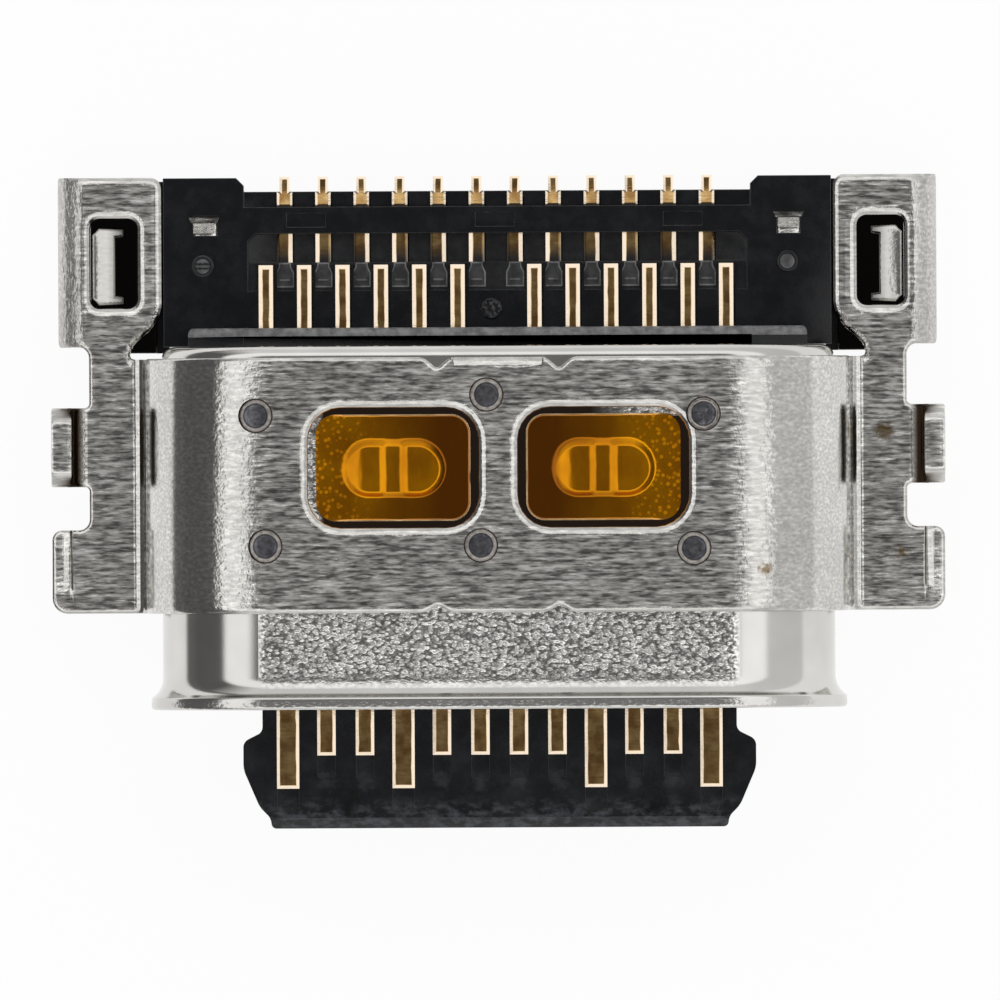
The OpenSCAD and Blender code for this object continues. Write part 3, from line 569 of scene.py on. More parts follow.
bracketLow, bracketHigh = boxInMm("outer_bracket")
bracket = {"sheet": 0.2, "spine": 2.89, "hatRadius": bracketHigh.z, "fold": 0.19, "board": -0.95,
           "front": bracketLow.y, "rear": 4.56, "wing": 0.56, "tabFront": 4.72,
           "tabRear": bracketHigh.y + 0.04, "tabIn": 0.4, "tabRound": 0.08, "slant": 0.35, "slantRound": 0.22,
           "wingRound": 0.15, "tabBend": 0.4, "skirt": 0.18, "rootRound": 0.1, "rootGap": 0.02, "crook": 0.14,
           "legFront": 2.9, "legRear": 3.93, "legBend": 0.29, "legTip": 0.21, "legChamfer": 0.18,
           "legRound": 0.04, "legCrook": 0.06, "toeRear": 2.34, "toeOut": 0.49, "toeRound": 0.2,
           "toeRearRound": 0.13, "notchAt": 0.79, "notchHalf": 0.175, "notchDeep": 0.1, "notchRound": 0.05,
           "notchTip": 0.04, "rearDeep": 0.15, "windowAt": 1.36, "windowMid": 3.13, "window": (2.21, 1.55),
           "windowRound": 0.42, "slotOut": 0.23, "slotMid": 5.81, "slot": (0.61, 1.16), "slotRound": 0.12,
           "roll": 0.08, "slotRoll": 0.16, "wingRoll": 0.13, "windowRoll": 0.15, "rearRoll": 0.17,
           "tipRoll": 0.02, "squeeze": 0.42, "burr": 0.025, "margin": 0.02, "rimReach": 0.06,
           "foldReach": 0.5, "tipReach": 0.3, "skirtReach": 0.1, "tipSwell": 0.07, "swellReach": 0.1,
           "legShade": (0.05, 0.34), "tipShade": (0.02, 0.08), "creaseLine": 0.004,
           "crease": [(5.545, 0), (5.565, 0.022), (5.59, 0.008), (5.68, 0.034)], "creaseFrom": (1.52, 1.6)}


def bracketPaths(b):
    hat = [(b["spine"], 0), (b["hatRadius"] * math.pi / 2, -90), (-b["board"] - b["fold"], 0),
           (b["fold"] * math.pi / 2, 90), (b["wing"], 0)]
    start = (0, b["hatRadius"])
    return {"tab": sheetPath(start, hat + [(b["tabBend"] * math.pi / 2, -90), (b["skirt"], 0)]),
            "leg": sheetPath(start, hat + [(b["legBend"] * math.pi / 2, 90), (b["legTip"], 0)]),
            "toe": sheetPath(start, hat + [(b["toeOut"], 0)])}


def rectangle(x, y, size, radius):
    half, tall = size[0] / 2, size[1] / 2
    return [(x - half, y - tall, radius), (x + half, y - tall, radius), (x + half, y + tall, radius),
            (x - half, y + tall, radius)]


def creaseDrop(rows, x):
    for (startX, startDrop), (endX, endDrop) in zip(rows, rows[1:]):
        if x <= endX:
            return startDrop + (endDrop - startDrop) * (x - startX) / (endX - startX)
    return rows[-1][1]


def buildBracket(b):
    paths = bracketPaths(b)
    root, edge = paths["toe"][4][0], paths["toe"][5][0]
    tab, leg, toe = (paths[name][-1][0] + paths[name][-1][1] for name in ("tab", "leg", "toe"))
    front, rear, inner = b["front"], b["rear"], root - b["tabIn"]
    notchIn, notchOut = b["notchAt"] - b["notchHalf"], b["notchAt"] + b["notchHalf"]
    legSide, legRound, gap = leg - b["legChamfer"], b["legRound"], b["rootGap"]
    half = [(notchIn, front, b["notchRound"]), (b["notchAt"], front + b["notchDeep"], b["notchTip"]),
            (notchOut, front, b["notchRound"]), (toe, front, b["toeRound"]),
            (toe, b["toeRear"], b["toeRearRound"]), (edge, b["toeRear"], b["crook"]),
            (edge, b["legFront"], b["legCrook"]), (legSide, b["legFront"], legRound),
            (leg, b["legFront"] + b["legChamfer"], legRound), (leg, b["legRear"] - b["legChamfer"], legRound),
            (legSide, b["legRear"], legRound), (edge, b["legRear"], b["legCrook"]),
            (edge, b["tabFront"], b["crook"]), (tab, b["tabFront"], b["tabRound"]),
            (tab, b["tabRear"], b["tabRound"]), (inner, b["tabRear"], b["wingRound"]),
            (inner, b["tabFront"] + b["slant"], b["slantRound"]),
            (root + gap, b["tabFront"] - gap, b["rootRound"]), (root + gap, rear, b["notchRound"]),
            (notchOut, rear, b["notchRound"]), (b["notchAt"], rear - b["rearDeep"], b["notchTip"]),
            (notchIn, rear, b["notchRound"])]
    outline = half + [(-x, y, radius) for x, y, radius in reversed(half)]
    slotAt = root + b["slotOut"]
    holes = [rectangle(side * b["windowAt"], b["windowMid"], b["window"], b["windowRound"])
             for side in (-1, 1)]
    holes += [rectangle(side * slotAt, b["slotMid"], b["slot"], b["slotRound"]) for side in (-1, 1)]
    bm = flatPattern(outline, holes)
    margin, reach = b["margin"], b["rimReach"]

    def inHole(across, y, x, mid, size):
        halfX, halfY = size[0] / 2 + margin, size[1] / 2 + margin
        return abs(across - x) < halfX and abs(y - mid) < halfY

    def rollOf(rim):
        mid = (rim.verts[0].co + rim.verts[1].co) / 2
        across, y = abs(mid.x), mid.y
        if abs(y - rear) < near and across < notchIn:
            return b["rearRoll"]
        if inHole(across, y, slotAt, b["slotMid"], b["slot"]):
            return b["slotRoll"]
        onWing = across < root + reach and y > b["tabFront"] - reach
        if onWing or abs(y - b["tabRear"]) < reach and across < tab - b["skirtReach"]:
            return b["wingRoll"]
        onFold = abs(y - rear) < reach and root - b["foldReach"] < across < root + near
        if onFold or inHole(across, y, b["windowAt"], b["windowMid"], b["window"]):
            return b["windowRoll"]
        onTip = across > leg - b["tipReach"] and b["legFront"] - margin < y < b["legRear"] + margin
        return b["tipRoll"] if onTip else b["roll"]

    thicken(bm, b["sheet"], rollOf, b["squeeze"], b["burr"])
    wingRoot = onPath(paths["toe"], root, 0)[0]
    lines = {round(line, 5) for path in paths.values() for line in bendLines(path, 4)}
    lines |= {root + x - wingRoot for x, drop in b["crease"]}
    cutAcross(bm, sorted(lines) + sorted(-line for line in lines))
    cutAcross(bm, b["creaseFrom"], 1)
    split = (rear + b["tabFront"]) / 2
    shade = bm.verts.layers.float["shade"]
    bend = b["legBend"] * math.pi / 2
    shadeFrom, shadeTo = (edge + bend * share for share in b["legShade"])
    fadeFrom, fadeTo = (leg - back for back in b["tipShade"])
    for vert in bm.verts:
        side = -1 if vert.co.x < 0 else 1
        along, y, depth = abs(vert.co.x), vert.co.y, -vert.co.z
        if along < root and y > split:
            x, z = wingRoot - (root - along), b["board"] - depth
        else:
            name = "tab" if y > split else "leg" if y > (b["toeRear"] + b["legFront"]) / 2 else "toe"
            upright = smoothStep(leg - b["legTip"] - b["swellReach"], leg, along) if name == "leg" else 0
            # painted shade on the leg's bend and inner face
            if name == "leg" and depth < b["sheet"] / 2:
                vert[shade] = min(smoothStep(shadeFrom, shadeTo, along), smoothStep(fadeFrom, fadeTo, along))
            x, z = onPath(paths[name], along, depth - b["tipSwell"] * upright * (1 - depth / b["sheet"]))
            if name == "toe" and x > b["crease"][0][0]:
                fade = smoothStep(b["creaseFrom"][0], b["creaseFrom"][1], y)
                z -= creaseDrop(b["crease"], x) * fade
                # painted shade along the bottom of the crease
                vert[shade] = fade * (abs(x - b["crease"][1][0]) < b["creaseLine"])
        vert.co = (side * x, y, z)
    bmesh.ops.recalc_face_normals(bm, faces=bm.faces[:])
    return bm


addPiece("bracket_sheet", buildBracket(bracket), bracketSteel, ["outer_bracket"])
print("bracket folded")


# Weld spots on the hat, which follow its curve

weld = {"spots": [(-3.14, 3.81), (-0.15, 4.07), (2.66, 3.81), (-3.02, 2.12), (-0.23, 2.12), (2.53, 2.07)],
        "rows": [(0.0, 0.004), (0.05, 0.0045), (0.1, 0.004), (0.142, 0.003), (0.155, 0.0), (0.168, 0.006),
                 (0.185, 0.013), (0.2, 0.01), (0.212, 0.004), (0.228, -0.006)],
        "burst": 2, "burstHeight": 0.016, "burstReach": 0.22, "burstGrain": 22, "lift": 0.003}


def hatLevel(x):
    over = max(0, abs(x) - bracket["spine"])
    return math.sqrt(bracket["hatRadius"] ** 2 - over ** 2)


def buildWelds(w):
    bm = bmesh.new()
    reach = bm.verts.layers.float.new("reach")
    for index, (x, y) in enumerate(w["spots"]):
        for vert in spunDisc(bm, w["rows"]):
            radius = math.hypot(vert.co.x, vert.co.y)
            vert[reach] = radius / w["rows"][-1][0]
            rough = 0
            if index == w["burst"] and radius < w["burstReach"]:
                rough = w["burstHeight"] * max(0, noise.noise(vert.co * w["burstGrain"]))
            vert.co = (vert.co.x + x, vert.co.y + y, hatLevel(vert.co.x + x) + vert.co.z + w["lift"] + rough)
    bmesh.ops.remove_doubles(bm, verts=bm.verts[:], dist=1e-5)
    bmesh.ops.recalc_face_normals(bm, faces=bm.faces[:])
    if sum(face.normal.z for face in bm.faces) < 0:
        bmesh.ops.reverse_faces(bm, faces=bm.faces[:])
    return bm


addPiece("weld_spots", buildWelds(weld), weldSteel, ["outer_bracket"])
print("welds set")


# Inner shell

shellHigh = boxInMm("inner_shell")[1]
shell = {"spine": 2.89, "mouth": 1.28, "wall": 0.2, "flange": 0.15, "rim": 0.045, "fillet": 0.31, "slope": 55,
         "filletRear": 0.42, "edge": 0.15, "mouthEdge": 0.06, "rear": shellHigh.y, "pocket": (1.5, 0.9),
         "pocketDeep": 0.16}


def arcPoints(centre, radius, start, end, count):
    return [(centre[0] + radius * math.cos(math.radians(start + (end - start) * i / count)),
             centre[1] + radius * math.sin(math.radians(start + (end - start) * i / count)))
            for i in range(count + 1)]


def buildShell(s):
    outer = s["mouth"] + s["wall"]
    flange = outer + s["flange"]
    rim, fillet, slope, edge = s["rim"], s["fillet"], math.radians(s["slope"]), s["edge"]
    crest = (s["flange"] - fillet * (1 - math.cos(slope))) / (1 - math.cos(slope))
    crestAt = s["filletRear"] - (fillet + crest) * math.sin(slope)
    profile = [(s["mouth"] + s["mouthEdge"], 0)]
    profile += arcPoints((flange - rim, rim), rim, -90, 0, 6)
    profile += arcPoints((flange - crest, crestAt), crest, 0, s["slope"], 7)
    profile += arcPoints((outer + fillet, s["filletRear"]), fillet, 180 + s["slope"], 180, 9)[1:]
    profile += arcPoints((outer - edge, s["rear"] - edge), edge, 0, 90, 12)
    profile += [(s["mouth"], s["rear"]), (s["mouth"], s["mouthEdge"])]
    bm = bmesh.new()
    verts = [bm.verts.new((s["spine"], y, radius)) for radius, y in profile]
    wire = [bm.edges.new((verts[i - 1], verts[i])) for i in range(len(verts))]

    def stretch(edges, distance):
        made = bmesh.ops.extrude_edge_only(bm, edges=edges)["geom"]
        bmesh.ops.translate(bm, verts=onlyVerts(made), vec=(distance, 0, 0))
        return onlyEdges(made)

    def turn(edges, x):
        geom = edges + list({v for e in edges for v in e.verts})
        made = bmesh.ops.spin(bm, geom=geom, cent=(x, 0, 0), axis=(0, 1, 0), angle=-math.pi, steps=48)
        return onlyEdges(made["geom_last"])

    def topFaces():
        return [f for f in bm.faces if f.normal.z > 0.99 and f.calc_center_median().z > outer - near]

    left = turn(stretch(wire, -2 * s["spine"]), -s["spine"])
    turn(stretch(left, 2 * s["spine"]), s["spine"])
    bmesh.ops.remove_doubles(bm, verts=bm.verts[:], dist=1e-4)
    bmesh.ops.recalc_face_normals(bm, faces=bm.faces[:])
    for side in (-1, 1):
        low = [side * bracket["windowAt"] - s["pocket"][0] / 2, bracket["windowMid"] - s["pocket"][1] / 2]
        high = [side * bracket["windowAt"] + s["pocket"][0] / 2, bracket["windowMid"] + s["pocket"][1] / 2]
        for axis in (0, 1):
            for line in (low[axis], high[axis]):
                top = topFaces()
                geom = top + list({e for f in top for e in f.edges}) + list({v for f in top for v in f.verts})
                plane = Vector([(1, 0, 0), (0, 1, 0)][axis])
                bmesh.ops.bisect_plane(bm, geom=geom, dist=1e-5, plane_co=plane * line, plane_no=plane)
        inside = [f for f in topFaces() if all(low[i] < f.calc_center_median()[i] < high[i] for i in (0, 1))]
        made = bmesh.ops.extrude_face_region(bm, geom=inside)["geom"]
        bmesh.ops.translate(bm, verts=onlyVerts(made), vec=(0, 0, -s["pocketDeep"]))
        bmesh.ops.delete(bm, geom=inside, context="FACES")
    return bm


addPiece("shell_tube", buildShell(shell), shellSteel, ["inner_shell"])
print("shell swept")


# Film patches, pressed into the dimples of the shell

film = {"size": (2.0, 1.38), "round": 0.25, "thick": 0.05, "level": 1.53, "pill": (1.39, 0.78), "deep": 0.07,
        "wall": 0.105, "wallLean": 0.03, "endFrom": 0.38, "ends": (0.85, 0.3), "ribFlat": 0.07,
        "ribFoot": 0.2, "ribRise": 0.033, "lip": 0.016, "lipWide": 0.024, "lipFrom": (-0.9, -0.5),
        "lipVary": (0.75, 0.5), "lipGrain": 4, "ripple": 0.0022, "rippleGrain": (9, 5, 3), "grid": (150, 104)}


def buildFilm(f, side):
    bm = bmesh.new()
    bmesh.ops.create_grid(bm, x_segments=f["grid"][0], y_segments=f["grid"][1], size=0.5)
    bmesh.ops.scale(bm, vec=(f["size"][0], f["size"][1], 1), verts=bm.verts)
    halfX, halfY = f["size"][0] / 2, f["size"][1] / 2
    for cornerX in (-1, 1):
        for cornerY in (-1, 1):
            corner = Vector((cornerX * (halfX - f["round"]), cornerY * (halfY - f["round"]), 0))
            for angle in range(9, 90, 12):
                turn = math.radians(angle)
                way = Vector((cornerX * math.cos(turn), cornerY * math.sin(turn), 0))
                bmesh.ops.bisect_plane(bm, geom=bm.verts[:] + bm.edges[:] + bm.faces[:], dist=1e-6,
                                       plane_co=corner + way * f["round"], plane_no=way, clear_outer=True)
    pillEnd, pillRadius = (f["pill"][0] - f["pill"][1]) / 2, f["pill"][1] / 2
    borderShare = bm.verts.layers.float.new("border")
    for vert in bm.verts:
        across, along = vert.co.x, vert.co.y
        inside = pillRadius - math.hypot(max(0, abs(across) - pillEnd), along)
        floor = 1 - f["ends"][across > 0] * smoothStep(f["endFrom"], f["pill"][0] / 2, abs(across))
        floor = f["deep"] * floor - f["ribRise"] * (1 - smoothStep(f["ribFlat"], f["ribFoot"], abs(across)))
        sideX, sideY = abs(across) - halfX + f["round"], abs(along) - halfY + f["round"]
        border = f["round"] - math.hypot(max(0, sideX), max(0, sideY)) - min(0, max(sideX, sideY))
        wall = f["wall"] + f["wallLean"] * along / pillRadius
        inward = smoothStep(*f["lipFrom"], -side * across)
        atRim = 1 - smoothStep(0, f["lipWide"], border)
        least, vary = f["lipVary"]
        uneven = noise.noise(Vector((across * f["lipGrain"], along * f["lipGrain"], side)))
        lip = f["lip"] * inward * (least + vary * uneven)
        vert[borderShare] = atRim * inward
        vert.co.z = -floor * smoothStep(0, wall, inside) - lip * atRim
        vert.co.z += f["ripple"] * noise.noise(Vector((across, along, side)) * Vector(f["rippleGrain"]))
    made = bmesh.ops.extrude_face_region(bm, geom=bm.faces[:], use_keep_orig=True)["geom"]
    bmesh.ops.translate(bm, verts=onlyVerts(made), vec=(0, 0, -f["thick"]))
    bmesh.ops.recalc_face_normals(bm, faces=bm.faces[:])
    place = (side * bracket["windowAt"], bracket["windowMid"], f["level"])
    bmesh.ops.translate(bm, verts=bm.verts, vec=place)
    return bm


for side, word in ((-1, "left"), (1, "right")):
    addPiece("film_patch_" + word, buildFilm(film, side), amberFilm, ["film_" + word])
print("films pressed")


# Pieces whose solids have the right form: a merged copy gets rounded edges

closest = 0.0004  # points of a solid that are nearer than this become one


def cadCopy(node):
    bm = bmesh.new()
    bm.from_mesh(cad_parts[node].data)
    bm.faces.layers.float.new("worn")
    bmesh.ops.scale(bm, vec=(perMetre,) * 3, verts=bm.verts)
    bmesh.ops.remove_doubles(bm, verts=bm.verts[:], dist=closest)
    bmesh.ops.dissolve_limit(bm, angle_limit=math.radians(1), verts=bm.verts[:], edges=bm.edges[:])
    return bm


def roundEdges(bm, edges, width, segments, worn, clamp=True):
    layer = bm.faces.layers.float["worn"]
    for face in bevel(bm, edges, width, segments, clamp=clamp)["faces"]:
        face[layer] = worn


def isSharp(edge):
    return len(edge.link_faces) == 2 and edge.calc_face_angle() > 0.5


def roundAll(bm, look):
    # rounds the sharp edges that leave room for it at both ends; their worn share paints them lighter, partly
    # wear and partly a painted highlight
    room = 2.5 * look["edge"]
    edges = [edge for edge in bm.edges if isSharp(edge) and edge.calc_length() > look["shortest"]
             and all(other.calc_length() > room for vert in edge.verts for other in vert.link_edges)]
    roundEdges(bm, edges, look["edge"], 2, look["worn"])


def edgesAt(bm, test):
    return [edge for edge in bm.edges if isSharp(edge) and all(test(vert.co) for vert in edge.verts)]


housing = {"blockHalf": 4.355, "wallRear": 4.96, "wallTop": -0.55, "ledgeRound": 0.12, "edge": 0.014,
           "shortest": 0.07, "worn": 0.12, "deck": -0.97, "gate": (0.2, 0.1), "recesses": (6.22, 6.5),
           "recessHalf": 3, "recessEdge": 0.007, "recessEdgeGlint": 0.25, "window": (5.5, 6.18, 3.4),
           "paintedFloorLight": 0.06, "skirt": [(4.28, 4.64, -1.47), (4.6, 6.88, -1.37)]}


def buildHousing(h):
    bm = cadCopy("rear_housing")
    widest = max(vert.co.x for vert in bm.verts)
    for vert in bm.verts:
        if abs(vert.co.x) > widest - near:
            vert.co.x *= h["blockHalf"] / widest
        if abs(vert.co.x) < h["gate"][0] and h["wallRear"] - h["gate"][1] < vert.co.y < h["wallRear"]:
            vert.co.y = h["wallRear"]  # the gate's round recess stays clear of the ledge
    bmesh.ops.dissolve_degenerate(bm, dist=closest, edges=bm.edges[:])
    bmesh.ops.dissolve_limit(bm, angle_limit=math.radians(1), verts=bm.verts[:], edges=bm.edges[:])
    ledge = edgesAt(bm, lambda co: abs(co.y - h["wallRear"]) < near and abs(co.z - h["wallTop"]) < near)
    # the ledge's rounded rear edge is painted fully in the light worn colour: a painted highlight
    roundEdges(bm, ledge, h["ledgeRound"], 4, 1.0, False)
    recess = edgesAt(bm, lambda co: abs(co.z - h["deck"]) < 0.002 and abs(co.x) < h["recessHalf"]
                     and h["recesses"][0] < co.y < h["recesses"][1])
    # painted highlight on the rims of the recesses in the bar
    roundEdges(bm, recess, h["recessEdge"], 1, h["recessEdgeGlint"], False)
    roundAll(bm, h)
    start, end, half = h["window"]
    for face in bm.faces:
        middle = face.calc_center_median()
        inWindow = start < middle.y < end and abs(middle.x) < half
        # painted light on the up-facing floor of the lead window
        if inWindow and face.normal.z > 0.9 and middle.z < h["deck"] - 0.05:
            face[bm.faces.layers.float["worn"]] = h["paintedFloorLight"]
    low, high = Vector(h["skirt"][0]), Vector(h["skirt"][1])
    for side in (-1, 1):
        made = bmesh.ops.create_cube(bm, size=1)["verts"]
        bmesh.ops.scale(bm, vec=high - low, verts=made)
        middle = (low + high) / 2
        bmesh.ops.translate(bm, vec=(side * middle.x, middle.y, middle.z), verts=made)
    return bm


tongue = {"corner": 0.07, "cornerFrom": 2.9, "edge": 0.014, "shortest": 0.07, "worn": 0.6}


def buildTongue(t):
    bm = cadCopy("tongue")
    corners = [edge for edge in bm.edges if edge.calc_length() > 0.3 and all(
        vert.co.y < 0 and abs(vert.co.x) > t["cornerFrom"] for vert in edge.verts)
        and (edge.verts[0].co - edge.verts[1].co).xy.length < 0.001]
    roundEdges(bm, corners, t["corner"], 4, 0.0)
    roundAll(bm, t)
    return bm


addPiece("housing_moulding", buildHousing(housing), housingPlastic, ["rear_housing"])
addPiece("tongue_moulding", buildTongue(tongue), tonguePlastic, ["tongue"])

plates = {"upper_wafer": ("wafer_moulding", "housing_plastic", housingPlastic),
          "mid_plate": ("mid_plate_blank", "plate_steel", plateSteel),
          "ground_plate_upper": ("ground_plate_blank_upper", "plate_steel", plateSteel),
          "ground_plate_lower": ("ground_plate_blank_lower", "plate_steel", plateSteel)}
# the worn share lightens the wafer's rounded edges: partly wear, partly a painted highlight
plateEdges = {"edge": 0.014, "shortest": 0.05, "worn": 0.3}

for node, (piece, slot, material) in plates.items():
    bm = cadCopy(node)
    roundAll(bm, plateEdges)
    addPiece(piece, bm, material, [node])
print("mouldings and plates rounded")


# Lower cover: the same kind of sheet, folded upside down, with a C-shaped leg in each slot of the wings

coverLow, coverHigh = boxInMm("lower_cover")
cover = {"sheet": 0.2, "spine": 2.89, "radius": -coverLow.z, "wing": 1.36, "fold": 0.12, "run": 2,
         "front": 1.35, "rear": 4.51, "floorRear": 6.5, "armIn": 4.44, "armOut": coverHigh.x,
         "armRear": coverHigh.y, "round": 0.12, "notch": (0.36, 4.64), "notchRound": 0.02,
         "roll": 0.05, "squeeze": 0.6, "burr": 0.025,
         "leg": [(5.275, 5.36), (5.19, 5.26), (4.85, 5.26), (4.85, 5.4), (4.965, 5.4),
                 (4.965, 6.14), (4.85, 6.14), (4.85, 6.28), (5.19, 6.28), (5.275, 6.18)],
         "legFoot": -1.25, "legTop": -0.975, "legLean": 0.3, "legRound": 0.05}


def buildCover(c):
    drop = c["radius"] - c["wing"]
    turn = math.degrees(math.acos(1 - drop / (c["radius"] + c["fold"])))
    path = sheetPath((0, c["radius"]), [(c["spine"], 0), (c["radius"] * math.radians(turn), -turn),
                                        (c["fold"] * math.radians(turn), turn), (c["run"], 0)])
    start, length, x, z, heading, curve = path[3]
    armIn, armOut = start + c["armIn"] - x, start + c["armOut"] - x
    notchOut, notchRear = armIn + c["notch"][0], c["notch"][1]
    half = [(armOut, c["front"], c["round"]), (armOut, c["armRear"], c["round"]),
            (armIn, c["armRear"], c["round"]), (armIn, notchRear, c["notchRound"]),
            (notchOut, notchRear, c["notchRound"]), (notchOut, c["rear"], c["notchRound"]),
            (c["spine"], c["rear"], c["round"]), (c["spine"], c["floorRear"], c["round"])]
    bm = flatPattern(half + [(-x, y, radius) for x, y, radius in reversed(half)], [])
    thicken(bm, c["sheet"], lambda rim: c["roll"], c["squeeze"], c["burr"])
    lines = bendLines(path, 3)
    cutAcross(bm, lines + [-line for line in lines])
    for vert in bm.verts:
        side = -1 if vert.co.x < 0 else 1
        x, z = onPath(path, abs(vert.co.x), -vert.co.z)
        vert.co = (side * x, vert.co.y, -z)
    bmesh.ops.recalc_face_normals(bm, faces=bm.faces[:])
    for side in (-1, 1):
        base = bm.faces.new([bm.verts.new((side * x, y, c["legFoot"])) for x, y in c["leg"]])
        made = bmesh.ops.extrude_face_region(bm, geom=[base], use_keep_orig=True)["geom"]
        raised = onlyVerts(made)
        bmesh.ops.translate(bm, verts=raised, vec=(0, 0, c["legTop"] - c["legFoot"]))
        for vert in raised:
            vert.co.z -= c["legLean"] * (c["armOut"] - abs(vert.co.x))
        walls = list({face for vert in raised for face in vert.link_faces})
        bmesh.ops.recalc_face_normals(bm, faces=walls + [base])
        rim = list({edge for vert in raised for edge in vert.link_edges
                    if all(end in raised for end in edge.verts)})
        bevel(bm, rim, c["legRound"], 3)
    return bm


addPiece("cover_sheet", buildCover(cover), coverSteel, ["lower_cover"])
print("cover folded")


# Contacts: each flat face is crowned with a wavering line, so that its long edges catch the light, and the
# crown attribute paints a highlight on those edges

contact = {"crown": 0.044, "frontCrown": 0.058, "frontFrom": 4.0, "rearCrown": 0.034, "rearFrom": 6.5,
           "drop": 0.28, "tongueDrop": 0.011, "leadDrop": 0.023, "flatArea": 0.015, "step": 0.11,
           "waver": 0.009, "waverGrain": (9, 6), "leadFrom": 5.5, "leadTo": 6.3, "leadLean": 0.012,
           "halfHighlightRim": 0.9, "frontNarrow": 0.93, "tailFrom": 4.9, "tailShift": -0.018, "rearSlope": 0.3,
           "slopeTo": 6.76, "topFrom": -1.02}


def buildContact(c, node):
    bm = cadCopy(node)
    grainX, grainY = c["waverGrain"]
    crown = bm.verts.layers.float.new("crown")
    number = int(node[9:])
    inUpper = node.startswith("contact_a")
    leanSide = -1 if number % 2 else 1
    flats = [face for face in bm.faces if abs(face.normal.z) > 0.99 and face.calc_area() > c["flatArea"]]
    for flat in flats:
        way = -1 if flat.normal.z > 0 else 1
        start = min(vert.co.y for vert in flat.verts)
        onFront = inUpper and start > c["frontFrom"]
        width = c["rearCrown"] if start > c["rearFrom"] else c["frontCrown"] if onFront else c["crown"]
        onLead = not inUpper and start < c["leadTo"]
        drop = c["tongueDrop"] if start < 0 else c["leadDrop"] if onLead else width * c["drop"]
        made = bmesh.ops.inset_region(bm, faces=[flat], thickness=width, use_even_offset=True,
                                      use_boundary=True)
        rim = {vert for face in made["faces"] for vert in face.verts} - set(flat.verts)
        bmesh.ops.translate(bm, verts=list(rim), vec=(0, 0, way * drop))
        middle = sum(vert.co.x for vert in rim) / len(rim)
        for vert in rim:
            # one rim of a lead gets only part of the painted highlight
            if onLead and (vert.co.x - middle) * leanSide > 0:
                vert[crown] = c["halfHighlightRim"]  # only one edge of a lead is bright
        for vert in flat.verts:
            vert[crown] = 1
    lengths = [vert.co.y for vert in bm.verts]
    count = int((max(lengths) - min(lengths)) / c["step"])
    cutAcross(bm, [min(lengths) + c["step"] * (i + 0.5) for i in range(count)], 1)
    for vert in bm.verts:
        if vert[crown] > 0.9:
            lean = 0 if inUpper else c["leadLean"] * leanSide
            inLead = c["leadFrom"] < vert.co.y < c["leadTo"]
            waver = noise.noise(Vector((vert.co.x * grainX, vert.co.y * grainY, number)))
            vert.co.x += c["waver"] * waver + lean * inLead
    tails = [vert for vert in bm.verts if vert.co.y > c["tailFrom"]]
    middle = (min(vert.co.x for vert in tails) + max(vert.co.x for vert in tails)) / 2
    for vert in tails:
        if inUpper:
            vert.co.x = middle + (vert.co.x - middle) * c["frontNarrow"]
        vert.co.x += c["tailShift"]
        if not inUpper and vert.co.z > c["topFrom"]:
            vert.co.z -= c["rearSlope"] * max(0, c["slopeTo"] - vert.co.y)
    return bm


for node in sorted(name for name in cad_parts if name.startswith("contact_")):
    piece = node.replace("contact_", "contact_strip_")
    addPiece(piece, buildContact(contact, node), contactGold, [node], 7)
print("contacts crowned")


# Marks of the mould, the lead pockets with painted light and highlights, and the ends of the mid plate's legs

marks = {"deck": -0.97, "lift": 0.004, "pins": [(-3.84, 5.77), (3.78, 5.8)], "gate": (-0.08, 5.2),
         "gateLumps": 0.012, "ends": [(-3.82, 6.29), (3.8, 6.33)], "endThick": 0.012,
         "pinRows": [(0.0, 0.004), (0.02, 0.004), (0.04, 0.004), (0.06, 0.004), (0.08, 0.005), (0.095, 0.002),
                     (0.11, 0.001), (0.128, 0.008), (0.145, -0.004)],
         "gateRows": [(0.0, 0.004), (0.05, 0.005), (0.09, 0.004), (0.12, 0.006), (0.14, -0.004)],
         "end": [[(-0.165, 0.045, 0.0), (0.165, 0.045, 0.0), (0.2, 0.115, 0.008), (-0.2, 0.115, 0.008)],
                 [(-0.14, -0.09, 0.0), (0.14, -0.09, 0.0), (0.14, 0.04, 0.036), (-0.14, 0.04, 0.036)]],
         "shelf": -1.035, "leads": (-2.768, 0.5, 12), "pocketEdge": 0.018, "pocketThick": 0.008,
         "pocket": [(0.118, 5.49), (0.118, 5.68), (0.08, 5.76), (0.08, 5.812)], "pocketLightAndGlint": (0.25, 0.9),
         "pocketLine": (0.07, 5.575, 5.598, 0.7), "lineTall": 0.03, "pinCore": 0.092,
         "pinRing": 0.12, "pinBars": (0.018, 0.045), "plainCore": 0.1, "gateCore": 0.11, "gateGrain": 24,
         "gateSpread": 0.12, "lumpGrain": 25}


def pinWorn(middle):
    # a rubbed middle with two dark bars, in a dull ring
    radius = math.hypot(middle.x, middle.y)
    if radius > marks["pinCore"]:
        return 0.14 if radius > marks["pinRing"] else 0.02
    return 0.04 if marks["pinBars"][0] < abs(middle.y) < marks["pinBars"][1] else 0.5


def plainWorn(middle):
    return 0.55 if middle.length < marks["plainCore"] else 0.02


def gateWorn(middle):
    torn = noise.noise(middle * marks["gateGrain"]) > marks["gateSpread"]
    return 0.3 if torn and middle.length < marks["gateCore"] else 0.02


def spunMark(bm, rows, x, y, level, rough, wornOf):
    made = spunDisc(bm, rows)
    for face in {face for vert in made for face in vert.link_faces}:
        face[bm.faces.layers.float["worn"]] = wornOf(face.calc_center_median())
    for vert in made:
        lumps = rough * noise.noise(vert.co * marks["lumpGrain"])
        vert.co += Vector((x, y, level + lumps))


def faceUp(bm):
    bmesh.ops.remove_doubles(bm, verts=bm.verts[:], dist=1e-5)
    bmesh.ops.recalc_face_normals(bm, faces=bm.faces[:])
    for face in bm.faces:
        if face.normal.z < 0:
            face.normal_flip()


